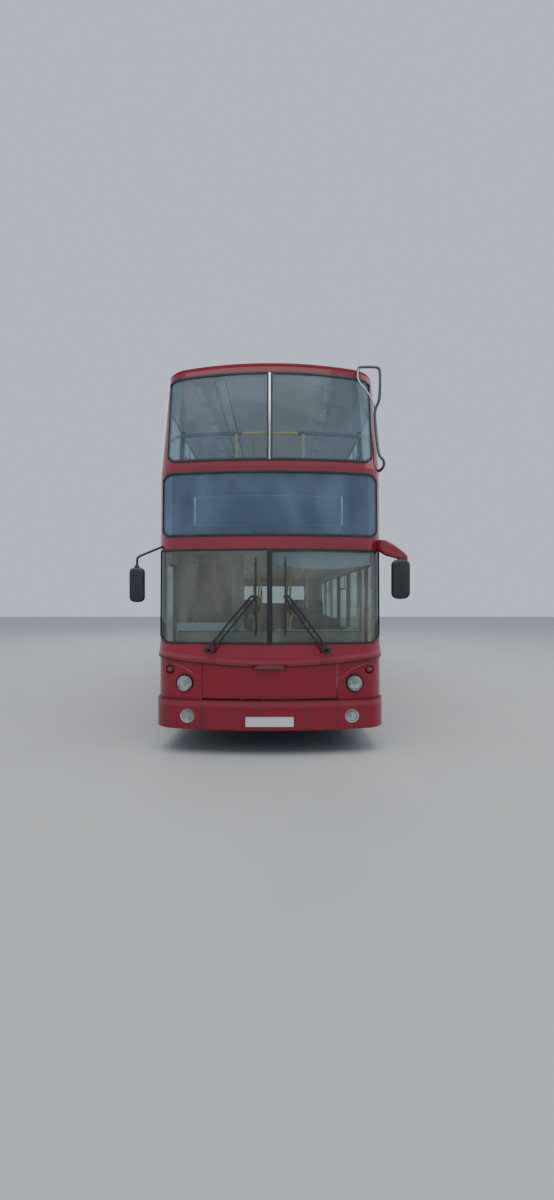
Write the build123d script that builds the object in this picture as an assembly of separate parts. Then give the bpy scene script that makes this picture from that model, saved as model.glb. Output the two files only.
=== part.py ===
from build123d import *
import os
from math import atan2, cos, radians, sin, sqrt, tan

# A right-hand-drive, low-floor double-deck bus, in millimetres.
# The origin is on the ground at mid length. +X is the kerb side (the bus's left), -Y is forward, +Z is up.

# Overall size and axle positions
body_length = 9900
body_width = 2520
body_height = 4370
front_overhang = 2530
wheelbase = 5250

# Heights of the body's main lines
skirt_z = 290
bumper_bottom_z = 280
bumper_top_z = 592
screen_bottom_z = 1200
screen_top_z = 2240
side_joint_z = 1150
floor_z = 370
rear_floor_z = 700
deck_joint_z = 2300
deck_z = 2330
waist_z = 3150
cantrail_z = 4110
floor_thick = 60

# Walls, panes and the gaps between pieces
wall = 55
roof_wall = 45
pane = 8
pane_inset = 3
pane_gap = 0.4
seat_gap = 0.3
panel_gap = 0.6
door_gap = 8
pin_gap = 0.1

# The plan of the body: a shallow bow across each end and a tight corner
bumper_proud = 40
front_bow = 4500
front_corner = 300
rear_bow = 9000
rear_corner = 180
front_split_y = -4500
upper_split_y = -4380
rear_split_y = 4660
lean_in = 72
roof_camber = 60
roof_edge = 80

half_length = body_length / 2
half_width = body_width / 2
front_axle_y = -half_length + front_overhang
rear_axle_y = front_axle_y + wheelbase
inner_half = half_width - wall
reach = 2000

# Level, height, half width, set-back of the front and of the rear from the overall length
LEVELS = {
    "skirt": (bumper_bottom_z - 10, half_width, bumper_proud, 25),
    "joint": (deck_joint_z, half_width, bumper_proud + 30, 30),
    "waist": (waist_z, half_width, bumper_proud + 60, 35),
    "dome": (body_height + 30, half_width - lean_in, bumper_proud + 270, 110),
}


def block(x0, x1, y0, y1, z0, z1):
    """A rectangular block between two corners."""
    middle = ((x0 + x1) / 2, (y0 + y1) / 2, (z0 + z1) / 2)
    return Pos(*middle) * Box(x1 - x0, y1 - y0, z1 - z0)


def rod(start, end, radius):
    """A round rod from one point to another."""
    along = Vector(*end) - Vector(*start)
    return extrude(Plane(origin=start, z_dir=along) * Circle(radius), amount=along.length)


def tube(points, radius):
    """A thin rail or arm through the points, twelve-sided with mitred bends."""
    solid = None
    for start, end in zip(points, points[1:]):
        along = Vector(*end) - Vector(*start)
        part = extrude(Plane(origin=start, z_dir=along) * RegularPolygon(radius, 12), amount=along.length)
        solid = part if solid is None else solid + part
    return solid


def end_points(tip_y, sign, width, bow, corner, inset):
    """Side point, corner middle, tangent point and tip of one end of the plan, for the +X half."""
    bow_y = tip_y - sign * bow
    run = width - corner
    rise = sqrt((bow - corner) ** 2 - run**2)
    corner_y = bow_y + sign * rise
    share = (bow - inset) / (bow - corner)
    half_turn = atan2(rise, run) / 2
    small = corner - inset
    side = (width - inset, corner_y)
    middle = (run + small * cos(half_turn), corner_y + sign * small * sin(half_turn))
    tangent = (run * share, bow_y + sign * rise * share)
    return side, middle, tangent, (0, tip_y - sign * inset)


def plan_face(height, width, front, rear, inset):
    """The body's outline at one height, as a flat face."""
    fs, fm, ft, tip = end_points(-half_length + front, -1, width, front_bow, front_corner, inset)
    rs, rm, rt, tail = end_points(half_length - rear, 1, width, rear_bow, rear_corner, inset)

    def at(point, side=1):
        return (side * point[0], point[1], height)

    edges = [
        ThreePointArc(at(ft, -1), at(tip), at(ft)),
        ThreePointArc(at(ft), at(fm), at(fs)),
        Line(at(fs), at(rs)),
        ThreePointArc(at(rs), at(rm), at(rt)),
        ThreePointArc(at(rt), at(tail), at(rt, -1)),
        ThreePointArc(at(rt, -1), at(rm, -1), at(rs, -1)),
        Line(at(rs, -1), at(fs, -1)),
        ThreePointArc(at(fs, -1), at(fm, -1), at(ft, -1)),
    ]
    return make_face(edges)


def hull(low, high, inset):
    """The solid body between two levels, taken in all round by the inset."""
    faces = [plan_face(*LEVELS[level], inset) for level in (low, high)]
    return loft(faces, ruled=True)


def skin(low, high, outer, inner):
    """A closed band of the body's wall between two levels."""
    return hull(low, high, outer) - hull(low, high, inner)


def end_outline(half, z0, z1, low_radius, high_radius, camber=0):
    """An opening seen from the end of the bus: rounded corners and, if cambered, a domed top edge."""
    shape = Pos(0, (z0 + z1) / 2) * Rectangle(2 * half, z1 - z0)
    if camber:
        dome = (half**2 + camber**2) / (2 * camber)
        shape = shape & (Pos(0, z1 - dome) * Circle(dome))
    if low_radius:
        shape = fillet(shape.vertices().sort_by(Axis.Y)[:2], low_radius)
    if high_radius:
        shape = fillet(shape.vertices().group_by(Axis.X)[0].sort_by(Axis.Y)[-1:], high_radius)
        shape = fillet(shape.vertices().group_by(Axis.X)[-1].sort_by(Axis.Y)[-1:], high_radius)
    return shape


def end_prism(outline, y0, y1, x=0):
    """An end outline carried along the bus from y0 to y1."""
    return extrude(Plane((x, y1, 0), x_dir=(1, 0, 0), z_dir=(0, -1, 0)) * outline, amount=y1 - y0)


def side_prism(y0, y1, z0, z1, radius, x0, x1, front=True, rear=True):
    """A window seen from the side, rounded at its front and rear corners as asked, carried from x0 to x1."""
    shape = Rectangle(y1 - y0, z1 - z0)
    ends = shape.vertices().group_by(Axis.X)
    corners = (ends[0] if front else []) + (ends[-1] if rear else [])
    if corners:
        shape = fillet(corners, radius)
    plane = Plane((x0, (y0 + y1) / 2, (z0 + z1) / 2), x_dir=(0, 1, 0), z_dir=(1, 0, 0))
    return extrude(plane * shape, amount=x1 - x0)


def row_ends(rows, number):
    """Only the ends of a row of windows are rounded: between its bays the panes stand edge to edge."""
    return {"front": number == 0, "rear": number == len(rows) - 1}


# Side windows, two rows: front edge and rear edge of each
window_radius = 60
lower_window_z = (1240, 2120)
upper_window_z = (3200, 3950)
cab_window_z = (1060, 2120)
kerb_windows = [(-3060, -1965), (-1875, -535), (-445, 895), (985, 2325), (2415, 3755)]
road_windows = [(-1875, -535), (-445, 895), (1900, 2325), (2415, 3755)]
cab_window = (-4370, -3720)
upper_windows = [(-4300, -3395), (-3305, -1965), (-1875, -535), (-445, 895), (985, 2325), (2415, 3755), (3845, 4580)]

# Entrance doorway and its two leaves, each carried on a turning post
door_front_y = -4460
door_width = 1320
door_cover = 62
door_top_z = 2196
door_sill_z = 372
door_skin = 20
door_line_x = 1214
leaf_thick = 38
leaf_z = (402, 2188)
leaf_trail = 35
leaf_lead = 43
leaf_meet_gap = 6
post_radius = 20
post_inset = 40
post_z = (377, 2230)
low_arm_z = (380, 394)
high_arm_z = (2196, 2210)
arm_half = 15
stud_radius = 8
roller_radius = 9
header_z = (2235, 2269)
door_rear_y = door_front_y + door_width
door_middle_y = (door_front_y + door_rear_y) / 2
post_y = door_front_y + post_inset
arm_length = (door_width / 2 - post_inset - leaf_meet_gap / 2 - leaf_lead) / 2

# Wheel arches and wheel boxes
tyre_radius = 478.5
tyre_width = 275
front_arch = 590
rear_arch = 545
front_box_inner_x = 560
rear_box_inner_x = 590
box_wall = 25
box_top_z = 1050
front_wheel_x = 1050
kingpin_x = 896
rear_wheel_x = 1092
twin_spacing = 312

# Emergency door, engine cover, front flap and cab door
exit_door = (960, 1800)
exit_door_z = (440, 2200)
cover_half = 960
cover_z = (575, 1440)
cover_bottom_gap = 16
flap_half = 732
flap_bottom_gap = 20
flap_thick = 25
flap_gap = 6
hinge_radius = 7
hinge_pin = 4
cab_door_y = (-4360, -3680)
cab_door_z = (380, 1400)
cab_side_x = -350

# Pieces are gathered here by node name and written at the end
NODES = {}


def arch_cut(axle_y, radius, x0, x1):
    """The round-topped wheel opening, open at the bottom."""
    top = rod((x0, axle_y, tyre_radius), (x1, axle_y, tyre_radius), radius)
    foot = block(x0, x1, axle_y - radius, axle_y + radius, 0, tyre_radius)
    return top + foot


# The shell: closed bands of wall, cut into panels below
lower_skin = skin("skirt", "joint", 0, wall)
middle_skin = skin("joint", "waist", 0, wall)
upper_skin = skin("waist", "dome", 0, wall)
side_zone = block(-reach, reach, front_split_y, rear_split_y, 0, deck_joint_z)
side_zone += block(-reach, reach, upper_split_y, rear_split_y, deck_joint_z, 5000)
front_zone = block(-reach, reach, -6000, front_split_y - panel_gap, 0, deck_joint_z)
front_zone += block(-reach, reach, -6000, upper_split_y - panel_gap, deck_joint_z, 5000)
rear_zone = block(-reach, reach, rear_split_y + panel_gap, 6000, 0, 5000)


# Openings in the front
windscreen_y = -4585
lower_screen = (half_width + 10, screen_bottom_z, screen_top_z, 180, 0)
upper_screen = (1142, 3205, 4245, 95, 60, 42)
blind_glass = (1200, 2372, 3095, 95, 95)
rear_lower_window = (880, 1560, 2100, 80, 80)
rear_upper_window = (900, 3200, 3960, 90, 90)
divider_half = 24
upper_divider_half = 9


def shrunk(opening, gap):
    """An end opening's sizes, taken in all round by the gap."""
    half, z0, z1, low, high = opening[:5]
    smaller = (half - gap, z0 + gap, z1 - gap, max(low - gap, 0), max(high - gap, 0))
    return smaller + tuple(opening[5:])


def front_cut(opening, gap=0, back=-4000):
    return end_prism(end_outline(*shrunk(opening, gap)), -6000, back - gap)


def rear_cut(opening, gap=0):
    return end_prism(end_outline(*shrunk(opening, gap)), 4000, 6000)


def pane_skin(low, high):
    return skin(low, high, pane_inset, pane_inset + pane)


# Front panel round the windscreen, with its smiling lip and lamp holes
lip_proud = 18
smile_centre_z = 972
smile_side_z = 1075
# Lamps on one side: distance out, height, radius, front of the lens, radius of the dish round it
lamp_table = [(937, 768, 96, -4790, 118), (1105, 915, 46, -4700, 54), (897, 419, 78, -4838, 0)]


def smile_prism(rise=0):
    """Everything below the curved crease across the front."""
    side = (half_width + 40, smile_side_z + rise)
    crease = ThreePointArc((-side[0], side[1]), (0, smile_centre_z + rise), side)
    edge = [crease, Polyline(side, (side[0], 0), (-side[0], 0), (-side[0], side[1]))]
    return end_prism(make_face(edge), -6000, -3000)


def flap_zone(gap, z0):
    """The hinged panel's place: below the crease, between its two seams."""
    half = flap_half + flap_gap - gap
    return smile_prism(-gap) & block(-half, half, -6000, -4700, z0, 1200)


def lip():
    """The lip swells out above the crease and fades into the screen's lower edge."""
    front = -half_length + bumper_proud
    low_z, mid_z, high_z = 930, 1052, screen_bottom_z - 8
    faces = []
    for z, proud in ((low_z, 8), (mid_z, lip_proud), (high_z, 0.5)):
        shift = 30 * (z - LEVELS["skirt"][0]) / (deck_joint_z - LEVELS["skirt"][0])
        faces.append(plan_face(z, half_width, bumper_proud + shift, 25, -proud))
    swelling = loft(faces[:2], ruled=True) + loft(faces[1:], ruled=True)
    band = swelling - hull("skirt", "joint", 2)
    band = band - smile_prism()
    return band & block(-reach, reach, front - 100, -4560, 900, 1200)


screen_lip = lip()


def front_panel():
    body = lower_skin & front_zone
    body = body & block(-reach, reach, -6000, 0, bumper_top_z + panel_gap, deck_joint_z)
    body -= front_cut(lower_screen, 0, windscreen_y)
    body -= block(-reach, reach, -6000, windscreen_y, screen_top_z, deck_joint_z + 1)
    body -= block(-reach, reach, windscreen_y - 1, 0, screen_top_z, deck_joint_z + 1)
    body += screen_lip
    body -= flap_zone(0, bumper_top_z)
    for x, z, radius, y, dish in lamp_table[:2]:
        for side in (-1, 1):
            body -= rod((side * x, -6000, z), (side * x, y + 4, z), dish)
            body -= rod((side * x, y, z), (side * x, -4500, z), radius + 0.2)
    return body


def divider(low, high, half, z0, z1, depth):
    """A screen's centre bar."""
    bar = skin(low, high, 0, depth)
    return bar & block(-half, half, -6000, -4000, z0, z1)


def upper_front():
    """Surround of the blind glass and the upper windscreen, up to the roof's lower edge."""
    low = middle_skin + (upper_skin & block(-reach, reach, -6000, 6000, waist_z, cantrail_z))
    low += lower_skin & block(-reach, reach, -6000, 6000, screen_top_z + panel_gap, deck_joint_z)
    body = low & front_zone
    body -= front_cut(blind_glass)
    body -= front_cut(upper_screen)
    return body


def side_walls(side):
    """The wall of one side of the lower saloon, from the skirt joint to the deck joint."""
    near = side > 0
    half_zone = block(0, reach, -6000, 6000, 0, 5000) if near else block(-reach, 0, -6000, 6000, 0, 5000)
    body = lower_skin & side_zone & half_zone
    body &= block(-reach, reach, -6000, 6000, side_joint_z, deck_joint_z)
    x0, x1 = (1000, 1500) if near else (-1500, -1000)
    rows = kerb_windows if near else road_windows
    for number, (y0, y1) in enumerate(rows):
        body -= side_prism(y0, y1, *lower_window_z, window_radius, x0, x1, **row_ends(rows, number))
    if near:
        body -= block(x0, x1, door_front_y + door_cover, door_rear_y - door_cover, 0, door_top_z)
        body -= block(0, half_width - door_skin, door_front_y - 30, door_rear_y + 30, 0, deck_joint_z + 1)
    else:
        body -= side_prism(*cab_window, *cab_window_z, window_radius, x0, x1)
        body -= block(x0, x1, exit_door[0] - door_gap, exit_door[1] + door_gap, 0, exit_door_z[1] + door_gap)
    return body


def skirt(side):
    """The panels below the saloon windows, with the wheel arches cut in them."""
    near = side > 0
    half_zone = block(0, reach, -6000, 6000, 0, 5000) if near else block(-reach, 0, -6000, 6000, 0, 5000)
    body = lower_skin & side_zone & half_zone
    body &= block(-reach, reach, -6000, 6000, skirt_z, side_joint_z - panel_gap)
    x0, x1 = (1000, 1500) if near else (-1500, -1000)
    body -= arch_cut(front_axle_y, front_arch, x0, x1)
    body -= arch_cut(rear_axle_y, rear_arch, x0, x1)
    if near:
        body -= block(x0, x1, door_front_y + door_cover, door_rear_y - door_cover, door_sill_z, side_joint_z)
        body -= block(0, half_width - door_skin, door_front_y - 30, door_rear_y + 30, door_sill_z, side_joint_z)
        for y in (post_y, 2 * door_middle_y - post_y):
            body += rod((door_line_x, y, door_sill_z - 5), (door_line_x, y, low_arm_z[1] - 2), stud_radius)
    else:
        body -= side_prism(*cab_window, *cab_window_z, window_radius, x0, x1)
        body -= block(x0, x1, exit_door[0] - door_gap, exit_door[1] + door_gap, exit_door_z[0] - door_gap, 1200)
    return body


def upper_sides():
    """Both walls of the upper saloon, leaning in above the waist."""
    body = (middle_skin + (upper_skin & block(-reach, reach, -6000, 6000, waist_z, cantrail_z))) & side_zone
    body &= block(-reach, reach, -6000, 6000, deck_joint_z + panel_gap, cantrail_z)
    for number, (y0, y1) in enumerate(upper_windows):
        ends = row_ends(upper_windows, number)
        body -= side_prism(y0, y1, *upper_window_z, window_radius, -reach, reach, **ends)
    return body


def rear_wall():
    body = (lower_skin + middle_skin + (upper_skin & block(-reach, reach, -6000, 6000, waist_z, cantrail_z))) & rear_zone
    body &= block(-reach, reach, 0, 6000, bumper_top_z - 40 + panel_gap, cantrail_z)
    body -= rear_cut(rear_lower_window)
    body -= rear_cut(rear_upper_window)
    hole = (cover_half + door_gap, cover_z[0] - cover_bottom_gap, cover_z[1] + door_gap, 0, 0)
    body -= end_prism(end_outline(*hole), 4000, 6000)
    return body


def roof_form(inset, edge):
    """The roof's solid form: the body's top, cambered across and rounded along its edge."""
    top_z = body_height - inset
    radius = (half_width**2 + roof_camber**2) / (2 * roof_camber)
    form = hull("waist", "dome", inset) & block(-reach, reach, -6000, 6000, cantrail_z + panel_gap, 5000)
    form &= rod((0, -6000, top_z - radius), (0, 6000, top_z - radius), radius)
    return fillet(form.faces().sort_by(Axis.Z)[-1].edges(), edge) if edge else form


def roof():
    shell = roof_form(0, roof_edge) - roof_form(roof_wall, 0)
    return shell - front_cut(upper_screen)




def hinge(axis, centre, length, fixed, *moving):
    """A hinge about Z or X: the fixed lugs with their pin, and the moving eye between the lugs."""
    x, y, z = centre
    far = length / 2

    def ends(low, high):
        if axis == "Z":
            return (x, y, z + low), (x, y, z + high)
        return (x + low, y, z), (x + high, y, z)

    def arm(low, high, offsets):
        a0, a1, b0, b1 = offsets
        if axis == "Z":
            return block(x + a0, x + a1, y + b0, y + b1, z + low, z + high)
        return block(x + low, x + high, y + a0, y + a1, z + b0, z + b1)

    eye = tube(ends(-far, far), hinge_radius)
    for offsets in moving:
        eye += arm(-far, far, offsets)
    eye -= rod(*ends(-far, far), hinge_pin + pin_gap)
    lugs = tube(ends(-far - 6, far + 6), hinge_pin)
    for low in (-far - 11, far + 1):
        lugs += arm(low, low + 10, fixed)
    return lugs, eye


# Hinges: axis, middle, length, reach of the fixed lugs and of the moving eye (x and y, or y and z, from the pin)
flap_hinge_y = -half_length + bumper_proud + 10 - 12
cover_hinge = (half_length - 10, cover_z[1] + 30)
HINGES = {
    "flap": ("X", (0, flap_hinge_y, 955), 300, (-5, 8, -5, 30), (0, 20, -7, 7)),
    "cover": ("X", (0, *cover_hinge), 500, (-34, 6, -6, 20), (-7, 7, -60, 0), (-34, 7, -60, -34)),
    "exit": ("Z", (-half_width - 8, exit_door[0] - 8, 1780), 600, (-7, 10, -24, 7), (-7, 10, 0, 22)),
    "cab": ("Z", (cab_side_x + 34, cab_door_y[1] + 9, 890), 800, (-34, 7, -7, 22), (-34, 0, -22, 0)),
}


def lugs_of(name):
    return [hinge(*HINGES[name])[0]]


def eyes_of(name):
    return [hinge(*HINGES[name])[1]]


def joined(body, extras):
    for extra in extras:
        body += extra
    return body


# Panels that open
def front_flap():
    body = skin("skirt", "joint", 0, flap_thick) & flap_zone(flap_gap, bumper_top_z + flap_bottom_gap)
    return joined(body, eyes_of("flap"))


def cover_zone(gap):
    half = cover_half + door_gap - gap
    low = cover_z[0] - (0 if gap else cover_bottom_gap)
    return block(-half, half, 4600, 6000, low, cover_z[1] + door_gap - gap)


def engine_cover():
    body = skin("skirt", "joint", 0, flap_thick) & cover_zone(door_gap)
    return joined(body, eyes_of("cover"))


def exit_zone(gap):
    y0, y1 = exit_door
    z0, z1 = exit_door_z
    more = door_gap - gap
    return block(-reach, 0, y0 - more, y1 + more, z0 - more, z1 + more)


exit_window = (exit_door[0] + 90, exit_door[1] - 90, lower_window_z[0], lower_window_z[1] - 20)


def emergency_door():
    body = lower_skin & exit_zone(door_gap)
    body -= side_prism(*exit_window, window_radius, -1500, -1000)
    return joined(body, eyes_of("exit"))


# Bumpers and number plates
plate_half = 260
plate_z = (318, 370)


def bumper_form(inset, z0, z1):
    face = plan_face(z0, half_width + 15, 0, 0, inset)
    return extrude(face, amount=z1 - z0)


def front_bumper():
    body = bumper_form(0, bumper_bottom_z, bumper_top_z) - bumper_form(58, bumper_bottom_z - 1, bumper_top_z + 1)
    body &= block(-reach, reach, -6000, front_split_y - 1, 0, 1000)
    body -= block(-plate_half - 1, plate_half + 1, -6000, -half_length + 14, plate_z[0] - 1, plate_z[0] + 112)
    for side in (-1, 1):
        x, z, radius = lamp_table[2][:3]
        body -= rod((side * x, -6000, z), (side * x, -4600, z), radius + 0.2)
    return body


def rear_bumper():
    body = bumper_form(0, 300, bumper_top_z - 40) - bumper_form(58, 299, bumper_top_z)
    body -= block(-plate_half - 1, plate_half + 1, half_length - 10, 6000, plate_z[1] - 1, plate_z[1] + 112)
    return body & block(-reach, reach, rear_split_y + 1, 6000, 0, 1000)


# Glass
def screen_panes(low, high, opening, bar_half, back=-4000):
    glass = pane_skin(low, high) & front_cut(opening, pane_gap, back)
    if bar_half:
        glass -= block(-bar_half - pane_gap, bar_half + pane_gap, -6000, -4000, 0, 5000)
    return glass


def side_panes(rows, z0, z1, side, band=None):
    """Panes of one row of side windows: flat below the waist, or cut from the leaning band above it."""
    x0, x1 = half_width - pane_inset - pane, half_width - pane_inset
    if band:
        x0, x1 = 1000, 1500
    gap = pane_gap
    glass = []
    for number, (y0, y1) in enumerate(rows):
        span = sorted((side * x0, side * x1))
        sizes = (y0 + gap, y1 - gap, z0 + gap, z1 - gap, window_radius - gap)
        solid = side_prism(*sizes, *span, **row_ends(rows, number))
        glass.append(band & solid if band else solid)
    return glass


low_pane = pane_skin("skirt", "joint")
mid_pane = pane_skin("waist", "dome")
near_half = block(0, reach, -6000, 6000, 0, 5000)
off_half = block(-reach, 0, -6000, 6000, 0, 5000)


# Entrance doors: each leaf hangs on arms turned by a post, and a roller keeps its far edge in the header
def mirror_door(solid):
    return mirror(solid, about=Plane.XZ.offset(-door_middle_y))


def door_arm():
    """The turning post with the two arms that carry one leaf between them."""
    x, y, a = door_line_x, post_y, arm_length
    arm = tube([(x, y, post_z[0]), (x, y, post_z[1])], post_radius)
    for z0, z1, p0, p1 in ((*low_arm_z, low_arm_z[1], leaf_z[0] + 28), (*high_arm_z, leaf_z[1] - 28, high_arm_z[0])):
        arm += block(x - arm_half, x + arm_half, y, y + a + arm_half, z0, z1)
        arm += rod((x, y + a, p0), (x, y + a, p1), stud_radius)
    arm -= rod((x, y, post_z[0]), (x, y, post_z[0] + 20), stud_radius + pin_gap)
    arm -= rod((x, y, post_z[1] - 22), (x, y, post_z[1]), stud_radius + pin_gap)
    return arm


leaf_windows = ((520, 2100),)


def door_leaf():
    x, a = door_line_x, arm_length
    y0, y1 = post_y + leaf_trail, post_y + 2 * a + leaf_lead
    leaf = block(x - leaf_thick / 2, x + leaf_thick / 2, y0, y1, *leaf_z)
    for z0, z1 in leaf_windows:
        leaf -= side_prism(y0 + 55, y1 - 55, z0, z1, 40, x - 50, x + 50)
    for z0, z1 in ((leaf_z[0], leaf_z[0] + 31), (leaf_z[1] - 31, leaf_z[1])):
        leaf -= rod((x, post_y + a, z0), (x, post_y + a, z1), stud_radius + pin_gap)
    leaf += rod((x, post_y + 2 * a, leaf_z[1] - 10), (x, post_y + 2 * a, header_z[0] + 16), roller_radius)
    return leaf


def leaf_panes():
    x, a = door_line_x, arm_length
    y0, y1 = post_y + leaf_trail, post_y + 2 * a + leaf_lead
    gap = pane_gap
    return [
        side_prism(y0 + 55 + gap, y1 - 55 - gap, z0 + gap, z1 - gap, 40 - gap, x + 4, x + 10)
        for z0, z1 in leaf_windows
    ]


def door_header():
    x = door_line_x
    bar = block(x - 22, x + 18, door_front_y - 20, door_rear_y + 20, *header_z)
    slot = post_y + 2 * arm_length * cos(radians(84)) - roller_radius - 4
    bar -= block(x - 9.6, x + 9.6, slot, 2 * door_middle_y - slot, header_z[0] - 1, header_z[0] + 20)
    for y in (post_y, 2 * door_middle_y - post_y):
        bar += rod((x, y, post_z[1] - 18), (x, y, header_z[0] + 5), stud_radius)
    return bar


# Floors, wheel boxes and stairs
def deck_slab(z0, z1, setback, y0=-6000, y1=6000, inset=None):
    face = plan_face(z0, half_width, setback, 31, wall if inset is None else inset)
    return extrude(face, amount=z1 - z0) & block(-reach, reach, y0, y1, 0, 5000)


def wheel_box(axle_y, inner_x, half_run, z0, side):
    x0, x1 = sorted((side * inner_x, side * (inner_half)))
    return block(x0, x1, axle_y - half_run, axle_y + half_run, z0, box_top_z)


def lower_floor():
    step_y = 1950
    low = deck_slab(floor_z - floor_thick, floor_z, bumper_proud + 2, y1=step_y)
    riser = block(-inner_half + 1, inner_half, step_y - 30, step_y, floor_z - floor_thick, rear_floor_z)
    high = block(-inner_half + 1, inner_half, step_y - 30, 3900, rear_floor_z - floor_thick, rear_floor_z)
    bulkhead = block(-inner_half + 1, inner_half, 3900, 3930, rear_floor_z - floor_thick, 1500)
    lid = deck_slab(1470, 1500, bumper_proud, y0=3930)
    floor = low + riser + high + bulkhead + lid
    boxes = [(front_axle_y, front_box_inner_x, 625, floor_z - floor_thick)]
    boxes.append((rear_axle_y, rear_box_inner_x, 580, rear_floor_z - floor_thick))
    for side in (-1, 1):
        for axle_y, inner_x, run, z0 in boxes:
            floor += wheel_box(axle_y, inner_x, run, z0, side)
        for axle_y, inner_x, run, z0 in boxes:
            x0, x1 = sorted((side * (inner_x + box_wall), side * 1400))
            floor -= block(x0, x1, axle_y - run + box_wall, axle_y + run - box_wall, 0, box_top_z - box_wall)
    return floor


stair_x = (-1190, -560)
landing_y = (-3620, -2950)
stair_rise = (deck_z - floor_z) / 8


def upper_floor():
    slab = deck_slab(deck_z - floor_thick, deck_z, bumper_proud + 33)
    return slab - block(*stair_x, landing_y[0], -1950, 2000, 3000)


def staircase():
    x0, x1 = stair_x
    steps = Pos(0, 0, 0) * block(x0, x1, *landing_y, floor_z + 3 * stair_rise - 40, floor_z + 3 * stair_rise)
    treads = [(-2950, -2700), (-2700, -2450), (-2450, -2200), (-2200, -1950)]
    for number, (y0, y1) in enumerate(treads):
        top = floor_z + (4 + number) * stair_rise
        steps += block(x0, x1, y0, y1, top - 40, top)
        steps += block(x0, x1, y0, y0 + 25, top - stair_rise - 40, top)
    steps += block(x0, x1, -1950, -1925, deck_z - stair_rise - 40, deck_z - floor_thick - 1)
    for number, y in ((2, -560), (1, -330)):
        top = floor_z + number * stair_rise
        steps += block(y, y + 230, *landing_y, top - 40, top)
        steps += block(y, y + 25, *landing_y, top - 40, top + stair_rise - 20)
    steps += block(-125, -100, *landing_y, floor_z, floor_z + stair_rise - 20)
    steps += block(x1 - 25, x1, landing_y[1], -1925, floor_z + 3 * stair_rise, deck_z - floor_thick - 1)
    return steps


# Cab
def cab_partition():
    wall_y = cab_door_y[1] + 30
    back = block(-1200, cab_side_x - 30, wall_y - 25, wall_y, floor_z, 2268)
    back -= block(-1100, cab_side_x - 130, wall_y - 30, wall_y + 5, 1350, 2150)
    post = block(cab_side_x - 30, cab_side_x, wall_y - 25, wall_y, floor_z, 2268)
    front_post = block(cab_side_x - 30, cab_side_x, cab_door_y[0] - 40, cab_door_y[0] - 8, floor_z, 1500)
    front_wall = block(cab_side_x - 30, cab_side_x, -4600, cab_door_y[0] - 40, floor_z, 1060)
    platform = block(-1200, cab_side_x - 40, -4500, wall_y - 25, floor_z + 100, floor_z + 140)
    riser = block(cab_side_x - 65, cab_side_x - 40, -4500, wall_y - 25, floor_z, floor_z + 120)
    tie = block(cab_side_x - 66, cab_side_x - 20, -4500, -4460, floor_z, floor_z + 140)
    return joined(back + post + front_post + front_wall + platform + riser + tie, lugs_of("cab"))


def cab_door():
    leaf = block(cab_side_x - 28, cab_side_x, *cab_door_y, *cab_door_z)
    return joined(leaf, eyes_of("cab"))


def dashboard():
    shelf = hull("skirt", "joint", wall + 2) & block(-reach, reach, -6000, -4600, 1040, 1150)
    shelf -= hull("skirt", "joint", wall + 40) & block(-reach, reach, -6000, -4640, 1000, 1110)
    binnacle = block(-1080, -480, -4640, -4480, 1040, 1190)
    return shelf + binnacle


def steering_wheel():
    """Rim of diamond section, two spokes, hub and column."""
    section = make_face(Polyline((205, 0), (220, 15), (235, 0), (220, -15), close=True))
    rim = revolve(Plane.XZ * section, axis=Axis.Z)
    wheel = rim + Box(424, 40, 12) + extrude(RegularPolygon(50, 12), amount=20, both=True)
    wheel = Pos(-780, -4330, 1190) * Rot(-25, 0, 0) * wheel
    column = tube([(-780, -4335, 1185), (-780, -4520, 800)], 28)
    return wheel + column + block(-830, -730, -4580, -4480, 510, 830)


# Seats seen from the side: distance and height of each corner, forward negative
seat_side = [(-230, 390), (-230, 470), (170, 440), (250, 1010), (300, 1000), (235, 390)]
seat_span = (330, 1180)
seat_leg = (-110, 40)


def double_seat(side, y, floor, leg_foot):
    """A double seat facing forward, on one leg that stands on the floor or on a wheel box."""
    x0, x1 = sorted((side * seat_span[0], side * seat_span[1]))
    face = make_face(Polyline(*[(y + a, floor + b) for a, b in seat_side], close=True))
    bench = extrude(Plane((x0, 0, 0), x_dir=(0, 1, 0), z_dir=(1, 0, 0)) * face, amount=x1 - x0)
    return bench + block(x0 + 200, x1 - 200, y + seat_leg[0], y + seat_leg[1], leg_foot, floor + 392)


# Rows of double seats: side, first row, pitch, rows, floor height, height of the leg's foot
SEAT_ROWS = [
    (1, -1400, 700, 5, floor_z, floor_z),
    (-1, -1400, 700, 3, floor_z, floor_z),
    (1, 2190, 1400, 2, rear_floor_z, rear_floor_z),
    (-1, 2190, 1400, 2, rear_floor_z, rear_floor_z),
    (1, 2880, 700, 1, rear_floor_z, box_top_z + 0.3),
    (-1, 2880, 700, 1, rear_floor_z, box_top_z + 0.3),
    (1, -4150, 740, 12, deck_z, deck_z),
    (-1, -4150, 740, 1, deck_z, deck_z),
    (-1, -1560, 740, 8, deck_z, deck_z),
]


def seats():
    solids = []
    for side, first, pitch, count, floor, foot in SEAT_ROWS:
        solids += [double_seat(side, first + pitch * number, floor, foot) for number in range(count)]
    return solids


def driver_seat():
    base = block(-980, -580, -4060, -3820, 510, 820)
    cushion = block(-1010, -550, -4160, -3740, 820, 930)
    back = Pos(-780, -3760, 1230) * Rot(-8, 0, 0) * Box(440, 90, 720)
    return base + cushion + back


# Rails and poles
pole_radius = 17
lower_poles = [(500, -3100), (300, -1680), (-300, -1680), (300, 700), (-300, 700)]
upper_poles = [(-300, -1900), (300, 400), (-300, 1900)]


def handrails():
    under = deck_z - floor_thick
    spots = [(x, y, floor_z, under) for x, y in lower_poles]
    spots += [(side * 300, 2600, rear_floor_z, under) for side in (-1, 1)]
    spots += [(x, y, deck_z, 4318) for x, y in upper_poles]
    return [tube([(x, y, z0), (x, y, z1)], pole_radius) for x, y, z0, z1 in spots]


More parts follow.
